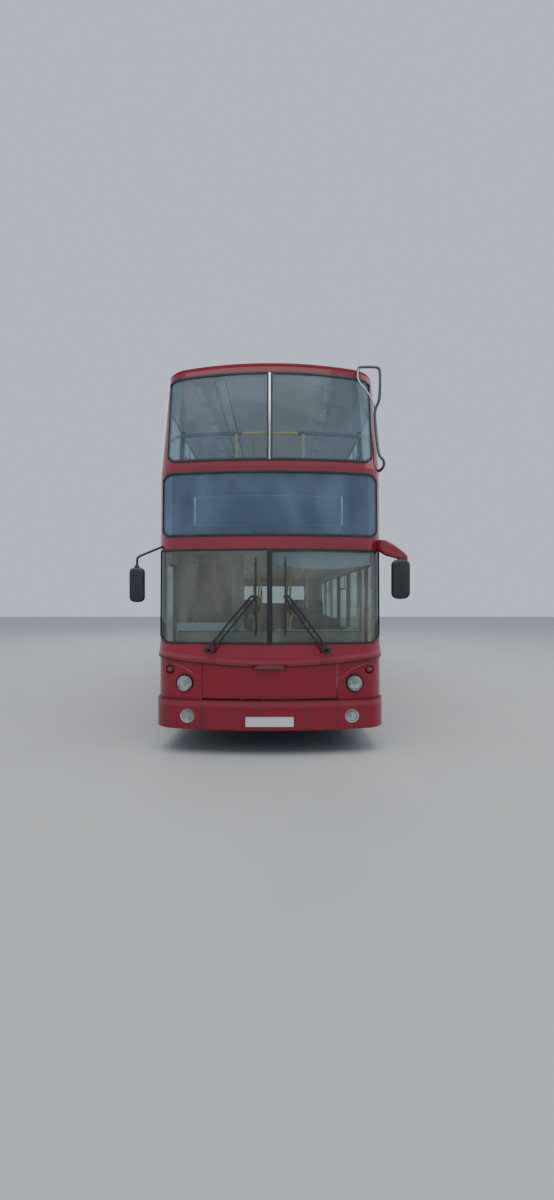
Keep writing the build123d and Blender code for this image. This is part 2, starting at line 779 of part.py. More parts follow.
def safety_rail():
    """The rail across the upper windscreen, bowed as the glass is, on two stanchions."""
    z, half, bow = 3570, 1130, 4300
    bow_y = -half_length + bumper_proud + 300 + bow
    spots = [(half * n / 3, bow_y - sqrt(bow**2 - (half * n / 3) ** 2), z) for n in range(-3, 4)]
    rail = tube(spots, 16)
    for x, y, top in (spots[2], spots[4]):
        rail += tube([(x, y, deck_z + 820), (x, y, z)], 15)
    return rail


def front_cowl():
    """The inner panel that closes off the sign box below the upper windscreen."""
    back_y = -4520
    panel = block(-1175, 1175, back_y - 20, back_y, deck_z, 3150)
    shelf = deck_slab(3120, 3150, bumper_proud + 62, y1=back_y) & block(-1200, 1200, -6000, 0, 0, 5000)
    return panel + shelf


# Outside fittings
rear_lamp_z = [700, 815, 930, 1045]


def front_lamp(x, z, radius, y):
    return rod((x, y, z), (x, y + 50, z), radius)


def rear_lamp(side, z):
    x0, x1 = sorted((side * 985, side * 1065))
    return block(x0, x1, 4800, 4895, z, z + 112) - hull("skirt", "joint", -0.1)


mirror_reach = 1540


def mirrors():
    off_head = block(-mirror_reach, -1375, -4830, -4760, 1655, 2045)
    near_head = block(1340, mirror_reach, -4830, -4740, 1690, 2140)
    off_head = fillet(off_head.edges().filter_by(Axis.Y), 30)
    near_head = fillet(near_head.edges().filter_by(Axis.Y), 40)
    off_arm = tube([(-1440, -4795, 2035), (-1440, -4795, 2120), (-1180, -4600, 2300)], 14)
    near_arm = tube([(1440, -4785, 2120), (1440, -4785, 2200), (1180, -4590, 2320)], 34)
    body = hull("skirt", "joint", -0.3) + hull("joint", "waist", -0.3)
    return off_head + (off_arm - body), near_head + (near_arm - body)


def wiper(x, tip_x, blade_x):
    """A parked wiper: spindle from the panel, twin rods and an upright blade."""
    y = -half_length + bumper_proud - 24
    spindle = rod((x, y, 1140), (x, -4700, 1140), 16) - hull("skirt", "joint", -0.1) - screen_lip
    rods = tube([(x - 8, y, 1140), (tip_x - 12, y, 1715)], 6) + tube([(x + 22, y, 1150), (tip_x + 14, y, 1715)], 6)
    foot = block(x - 20, x + 34, y - 8, y + 8, 1128, 1162)
    bridge = block(min(tip_x, blade_x) - 20, max(tip_x, blade_x) + 20, y - 6, y + 6, 1706, 1724)
    blade = block(blade_x - 8, blade_x + 8, y - 6, y + 6, 1290, 2150)
    return spindle + rods + foot + bridge + blade


# Branch guard on the upper kerb-side corner: the tube's bends
guard_path = [(1000, -4530, 4295), (1000, -4735, 4325), (1185, -4725, 4320), (1232, -4700, 4280), (1262, -4745, 3960),
              (1268, -4790, 3300), (1290, -4800, 3230), (1180, -4560, 3190)]


def tree_guard():
    upper = hull("waist", "dome", -0.1) & block(-reach, reach, -6000, 6000, 0, cantrail_z + panel_gap)
    body = hull("joint", "waist", -0.1) + upper + roof_form(-0.1, roof_edge)
    return tube(guard_path, 15) + tube([(1250, -4730, 4000), (1150, -4600, 3960)], 12) - body


# Running gear
# Profiles turned about the axle: radius and offset outward from the wheel's middle
tyre_section = [(290, -112), (385, -137.5), (tyre_radius, -112), (tyre_radius, 112), (385, 137.5), (290, 112)]
inner_tyre_section = [(290, -130), (tyre_radius, -130), (tyre_radius, 130), (290, 130)]
rim_section = [(289.7, -112), (276, -112), (276, 112), (289.7, 112)]
front_disc = [(36, 60), (36, 168), (0, 168), (0, 180), (66, 180), (66, 150), (175, 150), (278, 20), (278, 0), (150, 60)]
rear_web = [(62, -186), (62, 100), (0, 100), (0, 112), (92, 112), (92, 12), (180, 12), (278, 158), (278, 138), (190, 0),
            (278, -138), (278, -158), (180, -12), (92, -12), (92, -186)]


def turned(section, x, y, side=1):
    """A section turned about the axle line through the wheel's middle."""
    face = make_face(Polyline(*[(side * offset, radius, 0) for radius, offset in section], close=True))
    return Pos(x, y, tyre_radius) * revolve(face, axis=Axis.X)


def front_wheel(side):
    x = side * front_wheel_x
    return turned(rim_section, x, front_axle_y) + turned(front_disc, x, front_axle_y, side)


def rear_wheel(side):
    outer, inner = side * rear_wheel_x, side * (rear_wheel_x - twin_spacing)
    web = turned(rear_web, (outer + inner) / 2, rear_axle_y, side)
    return turned(rim_section, outer, rear_axle_y) + turned(rim_section, inner, rear_axle_y) + web


def knuckle(side):
    k, y, z = side * kingpin_x, front_axle_y, tyre_radius
    body = rod((k, y, z - 80), (k, y, z + 80), 20)
    for z0, z1 in ((z - 85, z - 55), (z + 55, z + 85)):
        x0, x1 = sorted((k - side * 38, k + side * 80))
        body += block(x0, x1, y - 38, y + 38, z0, z1)
    x0, x1 = sorted((k + side * 52, k + side * 80))
    body += block(x0, x1, y - 55, y + 55, z - 85, z + 85)
    body += rod((k + side * 70, y, z), (side * (front_wheel_x + 165), y, z), 36 - pin_gap)
    return body


def front_axle():
    """A dropped beam that rises inside the wheel boxes to the bosses of the kingpins."""
    y, z = front_axle_y, tyre_radius
    beam = block(-680, 680, y - 45, y + 45, 160, 240)
    for side in (-1, 1):
        beam += block(*sorted((side * 600, side * 680)), y - 45, y + 45, 160, z + 45)
        beam += block(*sorted((side * 640, side * kingpin_x)), y - 42, y + 42, z - 53, z + 53)
        beam += tube([(side * kingpin_x, y, z - 53), (side * kingpin_x, y, z + 53)], 42)
        beam -= rod((side * kingpin_x, y, z - 60), (side * kingpin_x, y, z + 60), 20 + pin_gap)
    return beam


def rear_axle():
    """The driven axle with its final drive, and the shaft from the engine."""
    y, z = rear_axle_y, tyre_radius
    end = rear_wheel_x - twin_spacing / 2 + 97
    axle = tube([(-600, y, z), (600, y, z)], 80) + tube([(0, y - 140, z), (0, y + 190, z)], 145)
    for side in (-1, 1):
        axle += rod((side * 590, y, z), (side * end, y, z), 62 - pin_gap)
    return axle + tube([(0, y + 150, z), (0, 3997.6, 600)], 45)


def chassis():
    """Low rails under the front floor, a step up ahead of the rear axle, and the cradle of the engine."""
    frame = None
    low, high = floor_z - floor_thick, rear_floor_z - floor_thick
    for side in (-1, 1):
        rail = block(*sorted((side * 400, side * 460)), -4780, 1990, low - 65, low)
        rail += block(*sorted((side * 400, side * 460)), 1960, 1990, low - 65, high)
        rail += block(*sorted((side * 400, side * 460)), 1960, 3950, high - 65, high)
        rail += block(*sorted((side * 400, side * 660)), 3900, 3950, 500, high)
        rail += block(*sorted((side * 600, side * 660)), 3900, 4862, 500, bumper_top_z - 40)
        rail += block(*sorted((side * 400, side * 460)), front_axle_y - 45, front_axle_y + 45, 240, low - 65)
        rail += block(*sorted((side * 390, side * 470)), rear_axle_y - 60, rear_axle_y + 60, 540, high - 65)
        frame = rail if frame is None else frame + rail
    for y in (-4740, -3500, -1200, 0, 1200):
        frame += block(-400, 400, y - 25, y + 25, low - 55, low - 5)
    frame += block(-600, 600, 2075, 2125, high - 60, high - 5)
    for y in (4150, 4450):
        frame += block(-660, 660, y - 30, y + 30, 520, 585)
    return frame - tube([(-480, rear_axle_y, tyre_radius), (480, rear_axle_y, tyre_radius)], 80)


def engine():
    return [block(-520, 520, 4000, 4560, 585, 1300)]


upper_panes = [glass for side in (1, -1) for glass in side_panes(upper_windows, *upper_window_z, side, mid_pane)]

NODES["front_panel"] = [joined(front_panel(), lugs_of("flap"))]
NODES["front_flap"] = [front_flap()]
NODES["upper_front"] = [upper_front()]
NODES["lower_sides"] = [side_walls(1), joined(side_walls(-1), lugs_of("exit"))]
NODES["skirts"] = [skirt(1), skirt(-1)]
NODES["upper_sides"] = [upper_sides()]
NODES["rear_wall"] = [joined(rear_wall(), lugs_of("cover"))]
NODES["roof"] = [roof()]
NODES["bumpers"] = [front_bumper(), rear_bumper()]
NODES["engine_cover"] = [engine_cover()]
NODES["emergency_door"] = [emergency_door()]
NODES["front_glass"] = [screen_panes("skirt", "joint", lower_screen, divider_half, windscreen_y),
                        screen_panes("waist", "dome", upper_screen, upper_divider_half),
                        pane_skin("joint", "waist") & front_cut(blind_glass, pane_gap)]
NODES["screen_dividers"] = [divider("skirt", "joint", divider_half, screen_bottom_z + 0.2, screen_top_z - 0.2, 30),
                            divider("waist", "dome", upper_divider_half, upper_screen[1] + 0.2, upper_screen[2] - 1, 30)]
NODES["side_glass"] = upper_panes + side_panes(kerb_windows, *lower_window_z, 1)
NODES["side_glass"] += side_panes(road_windows, *lower_window_z, -1) + side_panes([cab_window], *cab_window_z, -1)
NODES["rear_glass"] = [low_pane & rear_cut(rear_lower_window, pane_gap), mid_pane & rear_cut(rear_upper_window, pane_gap)]
NODES["exit_glass"] = side_panes([exit_window[:2]], *exit_window[2:], -1)
NODES["door_header"] = [door_header()]
NODES["door_arm_front"] = [door_arm()]
NODES["door_leaf_front"] = [door_leaf()]
NODES["door_glass_front"] = leaf_panes()
NODES["door_arm_rear"] = [mirror_door(door_arm())]
NODES["door_leaf_rear"] = [mirror_door(door_leaf())]
NODES["door_glass_rear"] = [mirror_door(solid) for solid in leaf_panes()]
NODES["lower_floor"] = [lower_floor()]
NODES["upper_floor"] = [upper_floor()]
NODES["staircase"] = [staircase()]
NODES["cab_partition"] = [cab_partition()]
NODES["cab_door"] = [cab_door()]
NODES["dashboard"] = [dashboard()]
NODES["steering_wheel"] = [steering_wheel()]
NODES["driver_seat"] = [driver_seat()]
NODES["seats"] = seats()
NODES["handrails"] = handrails() + [safety_rail()]
NODES["front_cowl"] = [front_cowl()]
NODES["front_lamps"] = [front_lamp(side * x, z, radius, y) for x, z, radius, y, dish in lamp_table for side in (-1, 1)]
NODES["rear_lamps"] = [rear_lamp(side, z) for z in rear_lamp_z for side in (-1, 1)]
NODES["number_plates"] = [block(-plate_half, plate_half, -half_length + 8, -half_length + 14, plate_z[0], plate_z[0] + 111),
                          block(-plate_half, plate_half, half_length - 10, half_length - 4, plate_z[1], plate_z[1] + 111)]
NODES["mirrors"] = list(mirrors())
NODES["wipers"] = [wiper(-650, -180, -150), wiper(610, 190, 170)]
NODES["tree_guard"] = [tree_guard()]
NODES["chassis"] = [chassis()]
NODES["front_axle"] = [front_axle()]
NODES["rear_axle"] = [rear_axle()]
NODES["engine"] = engine()
for side, name in ((1, "left"), (-1, "right")):
    NODES[f"knuckle_{name}"] = [knuckle(side)]
    NODES[f"wheel_front_{name}"] = [front_wheel(side)]
    NODES[f"tyre_front_{name}"] = [turned(tyre_section, side * front_wheel_x, front_axle_y)]
    NODES[f"wheel_rear_{name}"] = [rear_wheel(side)]
    NODES[f"tyres_rear_{name}"] = [turned(tyre_section, side * rear_wheel_x, rear_axle_y),
                                   turned(inner_tyre_section, side * (rear_wheel_x - twin_spacing), rear_axle_y)]

os.makedirs("parts", exist_ok=True)
for node, pieces in NODES.items():
    solids = [solid for piece in pieces for solid in piece.solids()]
    export_step(Compound(children=solids), f"parts/{node}.step")
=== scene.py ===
from contextlib import contextmanager
from math import atan2, cos, hypot, pi, radians, sin, sqrt

import bmesh
import bpy
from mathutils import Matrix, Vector


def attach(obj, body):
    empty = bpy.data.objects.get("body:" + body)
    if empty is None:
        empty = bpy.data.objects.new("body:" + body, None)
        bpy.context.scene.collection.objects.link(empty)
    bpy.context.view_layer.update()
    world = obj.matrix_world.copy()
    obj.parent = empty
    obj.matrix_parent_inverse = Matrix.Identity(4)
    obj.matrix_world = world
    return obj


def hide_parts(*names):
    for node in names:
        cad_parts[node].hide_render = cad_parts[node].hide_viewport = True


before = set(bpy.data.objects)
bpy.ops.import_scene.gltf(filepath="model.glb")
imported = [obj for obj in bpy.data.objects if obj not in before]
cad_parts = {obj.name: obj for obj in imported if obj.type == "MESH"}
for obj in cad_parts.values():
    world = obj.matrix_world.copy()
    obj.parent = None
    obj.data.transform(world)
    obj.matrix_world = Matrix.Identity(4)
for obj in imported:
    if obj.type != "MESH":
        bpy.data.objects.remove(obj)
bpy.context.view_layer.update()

# The photograph's camera stands 6 m ahead of the bus at a driver's eye height, dead level, with a wide lens.
# It looks straight back along the bus, a hand's width to the kerb side of the middle.
def linked(thing):
    """Puts a new object into the scene."""
    bpy.context.scene.collection.objects.link(thing)
    return thing


eye = bpy.data.cameras.new("eye")
eye.lens = 16.62
eye.sensor_width = 36
eye.clip_end = 200
camera = linked(bpy.data.objects.new("camera", eye))
camera.location = (0.08, -10.88, 1.68)
camera.rotation_euler = (pi / 2, 0, 0)
bpy.context.scene.camera = camera


class Wire:
    """A number on its way through a material; sums and products on it add Math nodes."""

    def __init__(self, coat, socket):
        self.coat, self.socket = coat, socket

    def math(self, operation, *values):
        return self.coat.node("ShaderNodeMath", {"operation": operation}, *values)

    def __add__(self, other):
        return self.math("ADD", self, other)

    def __sub__(self, other):
        return self.math("SUBTRACT", self, other)

    def __rsub__(self, other):
        return self.math("SUBTRACT", other, self)

    def __mul__(self, other):
        return self.math("MULTIPLY", self, other)

    def __lt__(self, other):
        return self.math("LESS_THAN", self, other)

    def __abs__(self):
        return self.math("ABSOLUTE", self)

    __radd__ = __add__
    __rmul__ = __mul__

    def most(self, other):
        return self.math("MAXIMUM", self, other)

    def wave(self):
        return self.math("SINE", self)

    def fade(self, low, high):
        """0 below low, 1 above high, and a soft step between; the other way round if low is the higher."""
        settings = {"interpolation_type": "SMOOTHSTEP"}
        values = (self, low, high, 0.0, 1.0) if low < high else (self, high, low, 1.0, 0.0)
        return self.coat.node("ShaderNodeMapRange", settings, *values)

    def between(self, low, high, soft=0.002):
        return self.fade(low - soft, low + soft) * self.fade(high + soft, high - soft)


class Coat:
    """A finish in the making: its nodes, and the Principled shader that they feed."""

    def __init__(self, name, **fixed):
        self.material = bpy.data.materials.new(name)
        self.material.use_nodes = True
        self.tree = self.material.node_tree
        self.shader = self.tree.nodes["Principled BSDF"]
        for socket, value in fixed.items():
            self.shader.inputs[socket.replace("_", " ")].default_value = value
        self.spot = self.node("ShaderNodeTexCoord", out="Object")
        self.facing = Wire(self, self.spot.socket.node.outputs["Normal"])

    def node(self, kind, settings=None, *values, out=0, **named):
        made = self.tree.nodes.new(kind)
        for key, value in (settings or {}).items():
            setattr(made, key, value)
        for key, value in (*enumerate(values), *named.items()):
            self.feed(made.inputs[key], value)
        return Wire(self, made.outputs[out])

    def feed(self, socket, value):
        if isinstance(value, Wire):
            self.tree.links.new(value.socket, socket)
        else:
            socket.default_value = value

    def split(self, vector):
        parts = self.node("ShaderNodeSeparateXYZ", None, vector).socket.node.outputs
        return [Wire(self, part) for part in parts]

    def scaled(self, x, y, z):
        return self.node("ShaderNodeVectorMath", {"operation": "MULTIPLY"}, self.spot, (x, y, z))

    def noise(self, scale, detail=3.0, place=None):
        return self.node("ShaderNodeTexNoise", None, Vector=place or self.spot, Scale=scale, Detail=detail)

    def cells(self, scale, out="Distance"):
        return self.node("ShaderNodeTexVoronoi", None, Vector=self.spot, Scale=scale, out=out)

    def blend(self, first, second, factor):
        """From one colour to another."""
        made = self.tree.nodes.new("ShaderNodeMix")
        made.data_type = "RGBA"
        for key, value in ((0, factor), (6, first), (7, second)):
            self.feed(made.inputs[key], (*value, 1) if isinstance(value, (tuple, list)) else value)
        return Wire(self, made.outputs[2])

    def relief(self, height, depth, strength=1.0):
        return self.node("ShaderNodeBump", None, Strength=strength, Distance=depth, Height=height)

    def finish(self, **sockets):
        for key, value in sockets.items():
            self.tree.links.new(value.socket, self.shader.inputs[key.replace("_", " ")])
        return self.material


def dress(finish, *names):
    for name in names:
        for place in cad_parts[name].material_slots:
            place.material = finish


# Floor and light: a pale studio floor under an even, cool sky-like dome.
# Three wide soft panels stand in for the open sky that the photograph's paint and glass reflect.
def fresh(name, add, **settings):
    """A new object from one of Blender's own shapes."""
    bpy.ops.object.select_all(action="DESELECT")
    add(**settings)
    made = bpy.context.object
    made.name = name
    return made


def panel_light(name, place, turn, power, size, length=None):
    """A soft panel of light, square unless it has a length of its own."""
    panel = bpy.data.lights.new(name, "AREA")
    panel.size, panel.energy = size, power
    if length:
        panel.shape, panel.size_y = "RECTANGLE", length
    lamp = linked(bpy.data.objects.new(name, panel))
    lamp.location, lamp.rotation_euler = place, turn


floor = fresh("floor", bpy.ops.mesh.primitive_plane_add, size=90)
ground = Coat("pale_floor", Roughness=0.75)
tone = ground.blend((0.38, 0.38, 0.37), (0.44, 0.44, 0.43), ground.noise(0.8))
floor.data.materials.append(ground.finish(Base_Color=tone))
world = bpy.data.worlds.new("dome")
world.use_nodes = True
world.node_tree.nodes["Background"].inputs["Color"].default_value = (0.7, 0.79, 0.92, 1)
world.node_tree.nodes["Background"].inputs["Strength"].default_value = 0.85
bpy.context.scene.world = world
panel_light("panel", (-1, -9, 15), (radians(28), 0, radians(-5)), 1300, 13)
panel_light("panel", (10, -3, 13), (radians(35), 0, radians(70)), 800, 16)
panel_light("panel", (-3, 11, 13), (radians(-40), 0, radians(15)), 1000, 16)


# Body paint: two-pack crimson over aluminium and moulded glass fibre, sprayed after assembly.
# It is years old: slightly wavy, duller on top, road-stained low down; faces turned upward, the roof's front most,
# are painted darker as painted shade. The inner faces are grey laminate.
laminate = ((0.66, 0.65, 0.62), (0.74, 0.73, 0.69))
underseal = ((0.016, 0.016, 0.016), (0.03, 0.029, 0.027))


def body_paint(name, inner=laminate, above=1.2, bands=()):
    """The paint on the outer faces; inner is the two shades of the inner faces, which start above a height."""
    usual = 0.24  # the mean roughness of clean paint
    paint = Coat(name, Coat_Roughness=0.07)
    x, y, z = paint.split(paint.spot)
    nx, ny, nz = paint.split(paint.facing)
    cloudy = paint.noise(0.9, 4)
    streaks = paint.noise(1.0, 5, paint.scaled(9, 9, 0.7))
    red = paint.blend((0.205, 0.004, 0.015), (0.262, 0.006, 0.02), cloudy.fade(0.3, 0.7))
    # Painted shade: faces turned upward, and most of all the roof's front, are darkened in colour; on the roof's
    # front the same mask also dulls the paint.
    painted_roof_shade = nz.fade(0.05, 0.3) * z.fade(3.95, 4.15)
    red = paint.blend(red, (0.11, 0.014, 0.02), (nz.fade(0.3, 0.9) * 0.6).most(painted_roof_shade * 0.6))
    low = z.fade(0.85, 0.25)
    grime = (low * streaks.fade(0.42, 0.75) * 0.45).most(streaks.fade(0.62, 0.85) * 0.16)
    chips = paint.cells(31).fade(0.055, 0.035) * paint.noise(2.2).fade(0.6, 0.66)
    red = paint.blend(red, (0.045, 0.022, 0.02), grime)
    red = paint.blend(red, (0.22, 0.12, 0.12), chips * 0.7)
    dull = 0.2 + grime * 0.35 + cloudy * 0.08 + painted_roof_shade * 0.35
    gloss = (1.0 - grime.fade(0.1, 0.6)) * (z.fade(0.4, 2.2) * 0.8 + 0.2)
    gloss = gloss * (1.0 - (nz.fade(0.2, 0.8) * 0.7).most(painted_roof_shade))
    # Some bands are painted highlights, on the lip over the ledge and on the bumper's shoulder; the pillar bands
    # are black paint.
    for mask, shade, rough in [make(paint, x, y, z) for make in bands]:
        red = paint.blend(red, shade, mask)
        dull = dull + mask * (rough - usual)
    if inner:
        out = nx * x * 4 + ny * y + nz * (z - 2.2) * 2
        inside = out.fade(-0.4, -0.9) * y.fade(-4.885, -4.875) * z.fade(above - 0.05, above)
        speckle = paint.noise(260, 2).fade(0.4, 0.6)
        lining = paint.blend(*inner, speckle)
        red = paint.blend(red, lining, inside)
        dull = dull + inside * 0.3
        gloss = gloss * (1.0 - inside)
    wavy = paint.noise(1.7, 2) * 0.6 + paint.noise(160, 1) * 0.012
    return paint.finish(Base_Color=red, Roughness=dull, Coat_Weight=gloss * 0.62,
        Specular_IOR_Level=0.42 - painted_roof_shade * 0.36, Normal=paint.relief(wavy, 0.012, 0.35))


def lip_painted_highlight(paint, x, y, z):
    """A painted highlight on the lip over the smiling ledge: a paler band of paint where the lip catches the light.
    """
    above = z - x * x * 0.0625
    return above.between(0.988, 1.03, 0.008) * y.fade(-4.5, -4.6) * 0.55, (0.3, 0.045, 0.06), 0.3


def shoulder_painted_highlight(paint, x, y, z):
    """A painted highlight: a paler band of paint along the bumper's top shoulder."""
    return z.between(0.53, 0.58, 0.01) * 0.6, (0.26, 0.04, 0.055), 0.3


def pillar_band(low, high, ends):
    """The black pillars between bonded panes: a dark stripe over a row's height and run."""
    def make(paint, x, y, z):
        mask = z.between(low, high) * y.between(*ends) * abs(x).fade(1.1, 1.15)
        return mask, (0.012, 0.012, 0.013), 0.34
    return make


dress(body_paint("crimson_paint"), "upper_front", "rear_wall", "roof")
# The front's paint carries a painted highlight along the lip over the ledge, and the bumpers' paint one along their
# shoulder.
dress(body_paint("crimson_front", bands=[lip_painted_highlight]), "front_panel")
dress(body_paint("crimson_bumpers", underseal, 0.0, [shoulder_painted_highlight]), "bumpers")
dress(body_paint("crimson_skirts", underseal, 0.0), "front_flap", "skirts", "engine_cover")
dress(body_paint("crimson_exit", above=0.4), "emergency_door")
dress(body_paint("crimson_lower_sides", bands=[pillar_band(1.24, 2.12, (-3.06, 3.755))]), "lower_sides")
dress(body_paint("crimson_upper_sides", bands=[pillar_band(3.2, 3.95, (-4.3, 4.58))]), "upper_sides")
dress(body_paint("crimson_doors", None), "door_leaf_front", "door_leaf_rear")


# Glass: flat toughened side panes and bowed laminated screens, lightly green, with road film low down.
# It shows what is behind it and throws back the sky at a slant, and on the screens a tinted film adds painted sky
# reflection and haze; the lower screen's wrap-round ends are black.
def glazing(name, shade, film=0.05, sheen=0.35, printed=None):
    """Glass under a film of dust; printed makes the mask of what is fired on it, and then the film also carries a
    painted sky reflection and haze that change with height.
    """
    glass = Coat(name, Base_Color=(*shade, 1), Specular_IOR_Level=0.8)
    x, y, z = glass.split(glass.spot)
    clear = glass.tree.nodes.new("ShaderNodeBsdfTransparent")
    clear.inputs["Color"].default_value = (0.8, 0.86, 0.85, 1)
    dust = glass.noise(3.0, 5, glass.scaled(1, 1, 0.5)).fade(0.35, 0.8)
    looks = {"Roughness": dust * 0.1 + 0.015}
    if printed:
        # The film's tint changes with height: blue on the sign glass as painted sky reflection, pale blue-grey on
        # the upper screen as painted haze, warmer on the lower screen.
        sign, upper = z.fade(2.26, 2.42), z.fade(3.12, 3.17)
        film = sign * 0.03 - upper * 0.05 + (film + 0.02)
        tone = glass.blend(glass.blend((0.42, 0.4, 0.34), (0.32, 0.42, 0.62), sign), (0.38, 0.47, 0.62), upper)
        border = printed(x, y, z)
        looks["Base_Color"] = glass.blend(tone, (0.008, 0.01, 0.014), border)
    see = glass.node("ShaderNodeFresnel", None, 1.55) * sheen + (dust + 1.0) * film
    if printed:
        see = see.most(border)
    mixed = glass.tree.nodes.new("ShaderNodeMixShader")
    glass.tree.links.new(see.socket, mixed.inputs[0])
    glass.tree.links.new(clear.outputs[0], mixed.inputs[1])
    glass.tree.links.new(glass.shader.outputs[0], mixed.inputs[2])
    glass.tree.links.new(mixed.outputs[0], glass.tree.nodes["Material Output"].inputs[0])
    return glass.finish(**looks)


def screen_border(x, y, z):
    """The black band fired on the lower windscreen where it wraps round to the pillars."""
    return abs(x).fade(1.165, 1.185) * z.fade(2.3, 2.28)


pane_glass = glazing("pane_glass", (0.3, 0.36, 0.4))
dress(glazing("screen_glass", (0.33, 0.43, 0.58), 0.085, 0.3, screen_border), "front_glass")
dress(pane_glass, "side_glass", "rear_glass", "exit_glass", "door_glass_front", "door_glass_rear")


# Plain finishes of the fittings: moulded plastics, rubber, rails and bare metals as a bus builder buys them.
# Each has its own grain, dust and wear at the size of the real one.
def moulded(name, shade, rough=0.5, grain=420, dust=(0.3, 0.28, 0.25)):
    plastic = Coat(name)
    nx, ny, nz = plastic.split(plastic.facing)
    fine = plastic.noise(grain, 2)
    worn = plastic.noise(4, 4)
    settled = nz.fade(0.4, 1.0) * worn.fade(0.3, 0.8) * 0.35
    tone = plastic.blend([c * 0.8 for c in shade], [min(1, c * 1.2) for c in shade], worn)
    return plastic.finish(Base_Color=plastic.blend(tone, dust, settled),
        Roughness=worn * 0.2 + (rough - 0.1) + settled * 0.3, Normal=plastic.relief(fine, 0.0006, 0.5))


def rubber(name, shade=(0.014, 0.014, 0.015)):
    black = Coat(name)
    age = black.noise(7, 4)
    chalk = black.blend(shade, (0.06, 0.06, 0.058), age.fade(0.4, 0.9) * 0.6)
    return black.finish(Base_Color=chalk, Roughness=age * 0.25 + 0.42,
        Normal=black.relief(black.noise(300, 2), 0.0004, 0.5))


def painted_steel(name, shade, rough=0.35, rust=0.15):
    steel = Coat(name)
    stain = steel.noise(11, 6)
    spots = stain.fade(0.62, 0.74) * rust
    tone = steel.blend(shade, [c * 0.75 for c in shade], steel.noise(2.5, 3))
    tone = steel.blend(tone, (0.12, 0.055, 0.025), spots)
    return steel.finish(Base_Color=tone, Roughness=stain * 0.2 + rough - 0.1 + spots * 0.3,
        Normal=steel.relief(stain, 0.002, 0.25))


def bright_metal(name, shade=(0.62, 0.63, 0.64), rough=0.12):
    metal = Coat(name, Metallic=1.0)
    smear = metal.noise(14, 4)
    tarnish = metal.blend(shade, [c * 0.72 for c in shade], smear.fade(0.45, 0.8))
    return metal.finish(Base_Color=tarnish, Roughness=smear * 0.18 + rough)


black_rubber = rubber("black_rubber")
grey_plastic = moulded("grey_plastic", (0.13, 0.15, 0.18))
black_plastic = moulded("black_plastic", (0.022, 0.022, 0.024), 0.45)
pale_laminate = moulded("pale_laminate", (0.42, 0.34, 0.3), 0.45, 700)
yellow_rail = painted_steel("yellow_rail", (0.92, 0.6, 0.04), 0.28, 0.05)
chassis_black = painted_steel("chassis_black", (0.02, 0.019, 0.018), 0.6, 0.8)
silver_wheel = painted_steel("silver_wheel", (0.33, 0.33, 0.32), 0.4, 0.5)
cast_iron = painted_steel("cast_iron", (0.1, 0.1, 0.1), 0.65, 0.9)
bare_steel = bright_metal("bare_steel", (0.42, 0.42, 0.42), 0.25)
polished_tube = bright_metal("polished_tube")
dress(black_rubber, "screen_dividers")
dress(grey_plastic, "dashboard", "door_header")
dress(pale_laminate, "staircase", "front_cowl", "cab_partition", "cab_door")
dress(chassis_black, "chassis", "front_axle", "rear_axle")
dress(silver_wheel, "wheel_front_left", "wheel_front_right", "wheel_rear_left", "wheel_rear_right")
dress(cast_iron, "engine")
dress(bare_steel, "knuckle_left", "knuckle_right", "door_arm_front", "door_arm_rear")
dress(moulded("plate_face", (0.62, 0.62, 0.6), 0.35, 900), "number_plates")


# Floor covering: dark grey slip-resistant vinyl with coarse flecks, welded in sheets over plywood.
# Its underside is black-painted ply, and the ceiling of the lower deck is pale laminate on the same slab.
def floor_covering(name, below):
    vinyl = Coat(name)
    nx, ny, nz = vinyl.split(vinyl.facing)
    flecks = vinyl.cells(95).fade(0.16, 0.08) * vinyl.noise(60).fade(0.4, 0.6)
    tread = vinyl.blend((0.05, 0.052, 0.058), (0.2, 0.2, 0.19), flecks * 0.6)
    scuffs = vinyl.noise(2.4, 6).fade(0.5, 0.8)
    tread = vinyl.blend(tread, (0.13, 0.12, 0.11), scuffs * 0.5)
    under = nz.fade(-0.5, -0.8)
    return vinyl.finish(Base_Color=vinyl.blend(tread, below, under), Roughness=scuffs * 0.15 + 0.55,
        Normal=vinyl.relief(vinyl.noise(240, 2), 0.001, 0.4))


dress(floor_covering("lower_vinyl", (0.02, 0.02, 0.02)), "lower_floor")
dress(floor_covering("upper_vinyl", (0.6, 0.6, 0.57)), "upper_floor")


# Glazing rubbers: black extruded strips that hold each pane, a wide one round the screens and a thin one beside.
# Each is made from the border of its own pane's outer face, raised and rounded.
def alone(thing):
    """Only this object is selected and active."""
    bpy.ops.object.select_all(action="DESELECT")
    thing.select_set(True)
    bpy.context.view_layer.objects.active = thing


@contextmanager
def editing(thing):
    """Edit mode on one object with all of it selected, and object mode again at the end."""
    alone(thing)
    bpy.ops.object.mode_set(mode="EDIT")
    bpy.ops.mesh.select_all(action="SELECT")
    yield
    bpy.ops.object.mode_set(mode="OBJECT")


def face_outward():
    bpy.ops.mesh.select_all(action="SELECT")
    bpy.ops.mesh.normals_make_consistent(inside=False)


def flipped(thing):
    """Turns the faces of a mirrored piece outward again."""
    with editing(thing):
        bpy.ops.mesh.flip_normals()
    return thing


def pick(thing, test):
    """Selects, in edit mode, the faces whose middle and normal pass the test."""
    mesh = bmesh.from_edit_mesh(thing.data)
    for face in mesh.faces:
        face.select_set(bool(test(face.calc_center_median(), face.normal)))
    bmesh.update_edit_mesh(thing.data)


def modified(thing, kind, **settings):
    """Adds one modifier and applies it."""
    alone(thing)
    modifier = thing.modifiers.new(kind.lower(), kind)
    for key, value in settings.items():
        setattr(modifier, key, value)
    bpy.ops.object.modifier_apply(modifier=modifier.name)
    return thing


def smooth(thing, angle=35):
    alone(thing)
    bpy.ops.object.shade_smooth_by_angle(angle=radians(angle))
    return thing


def coated(piece, finish):
    piece.data.materials.clear()
    piece.data.materials.append(finish)
    return piece


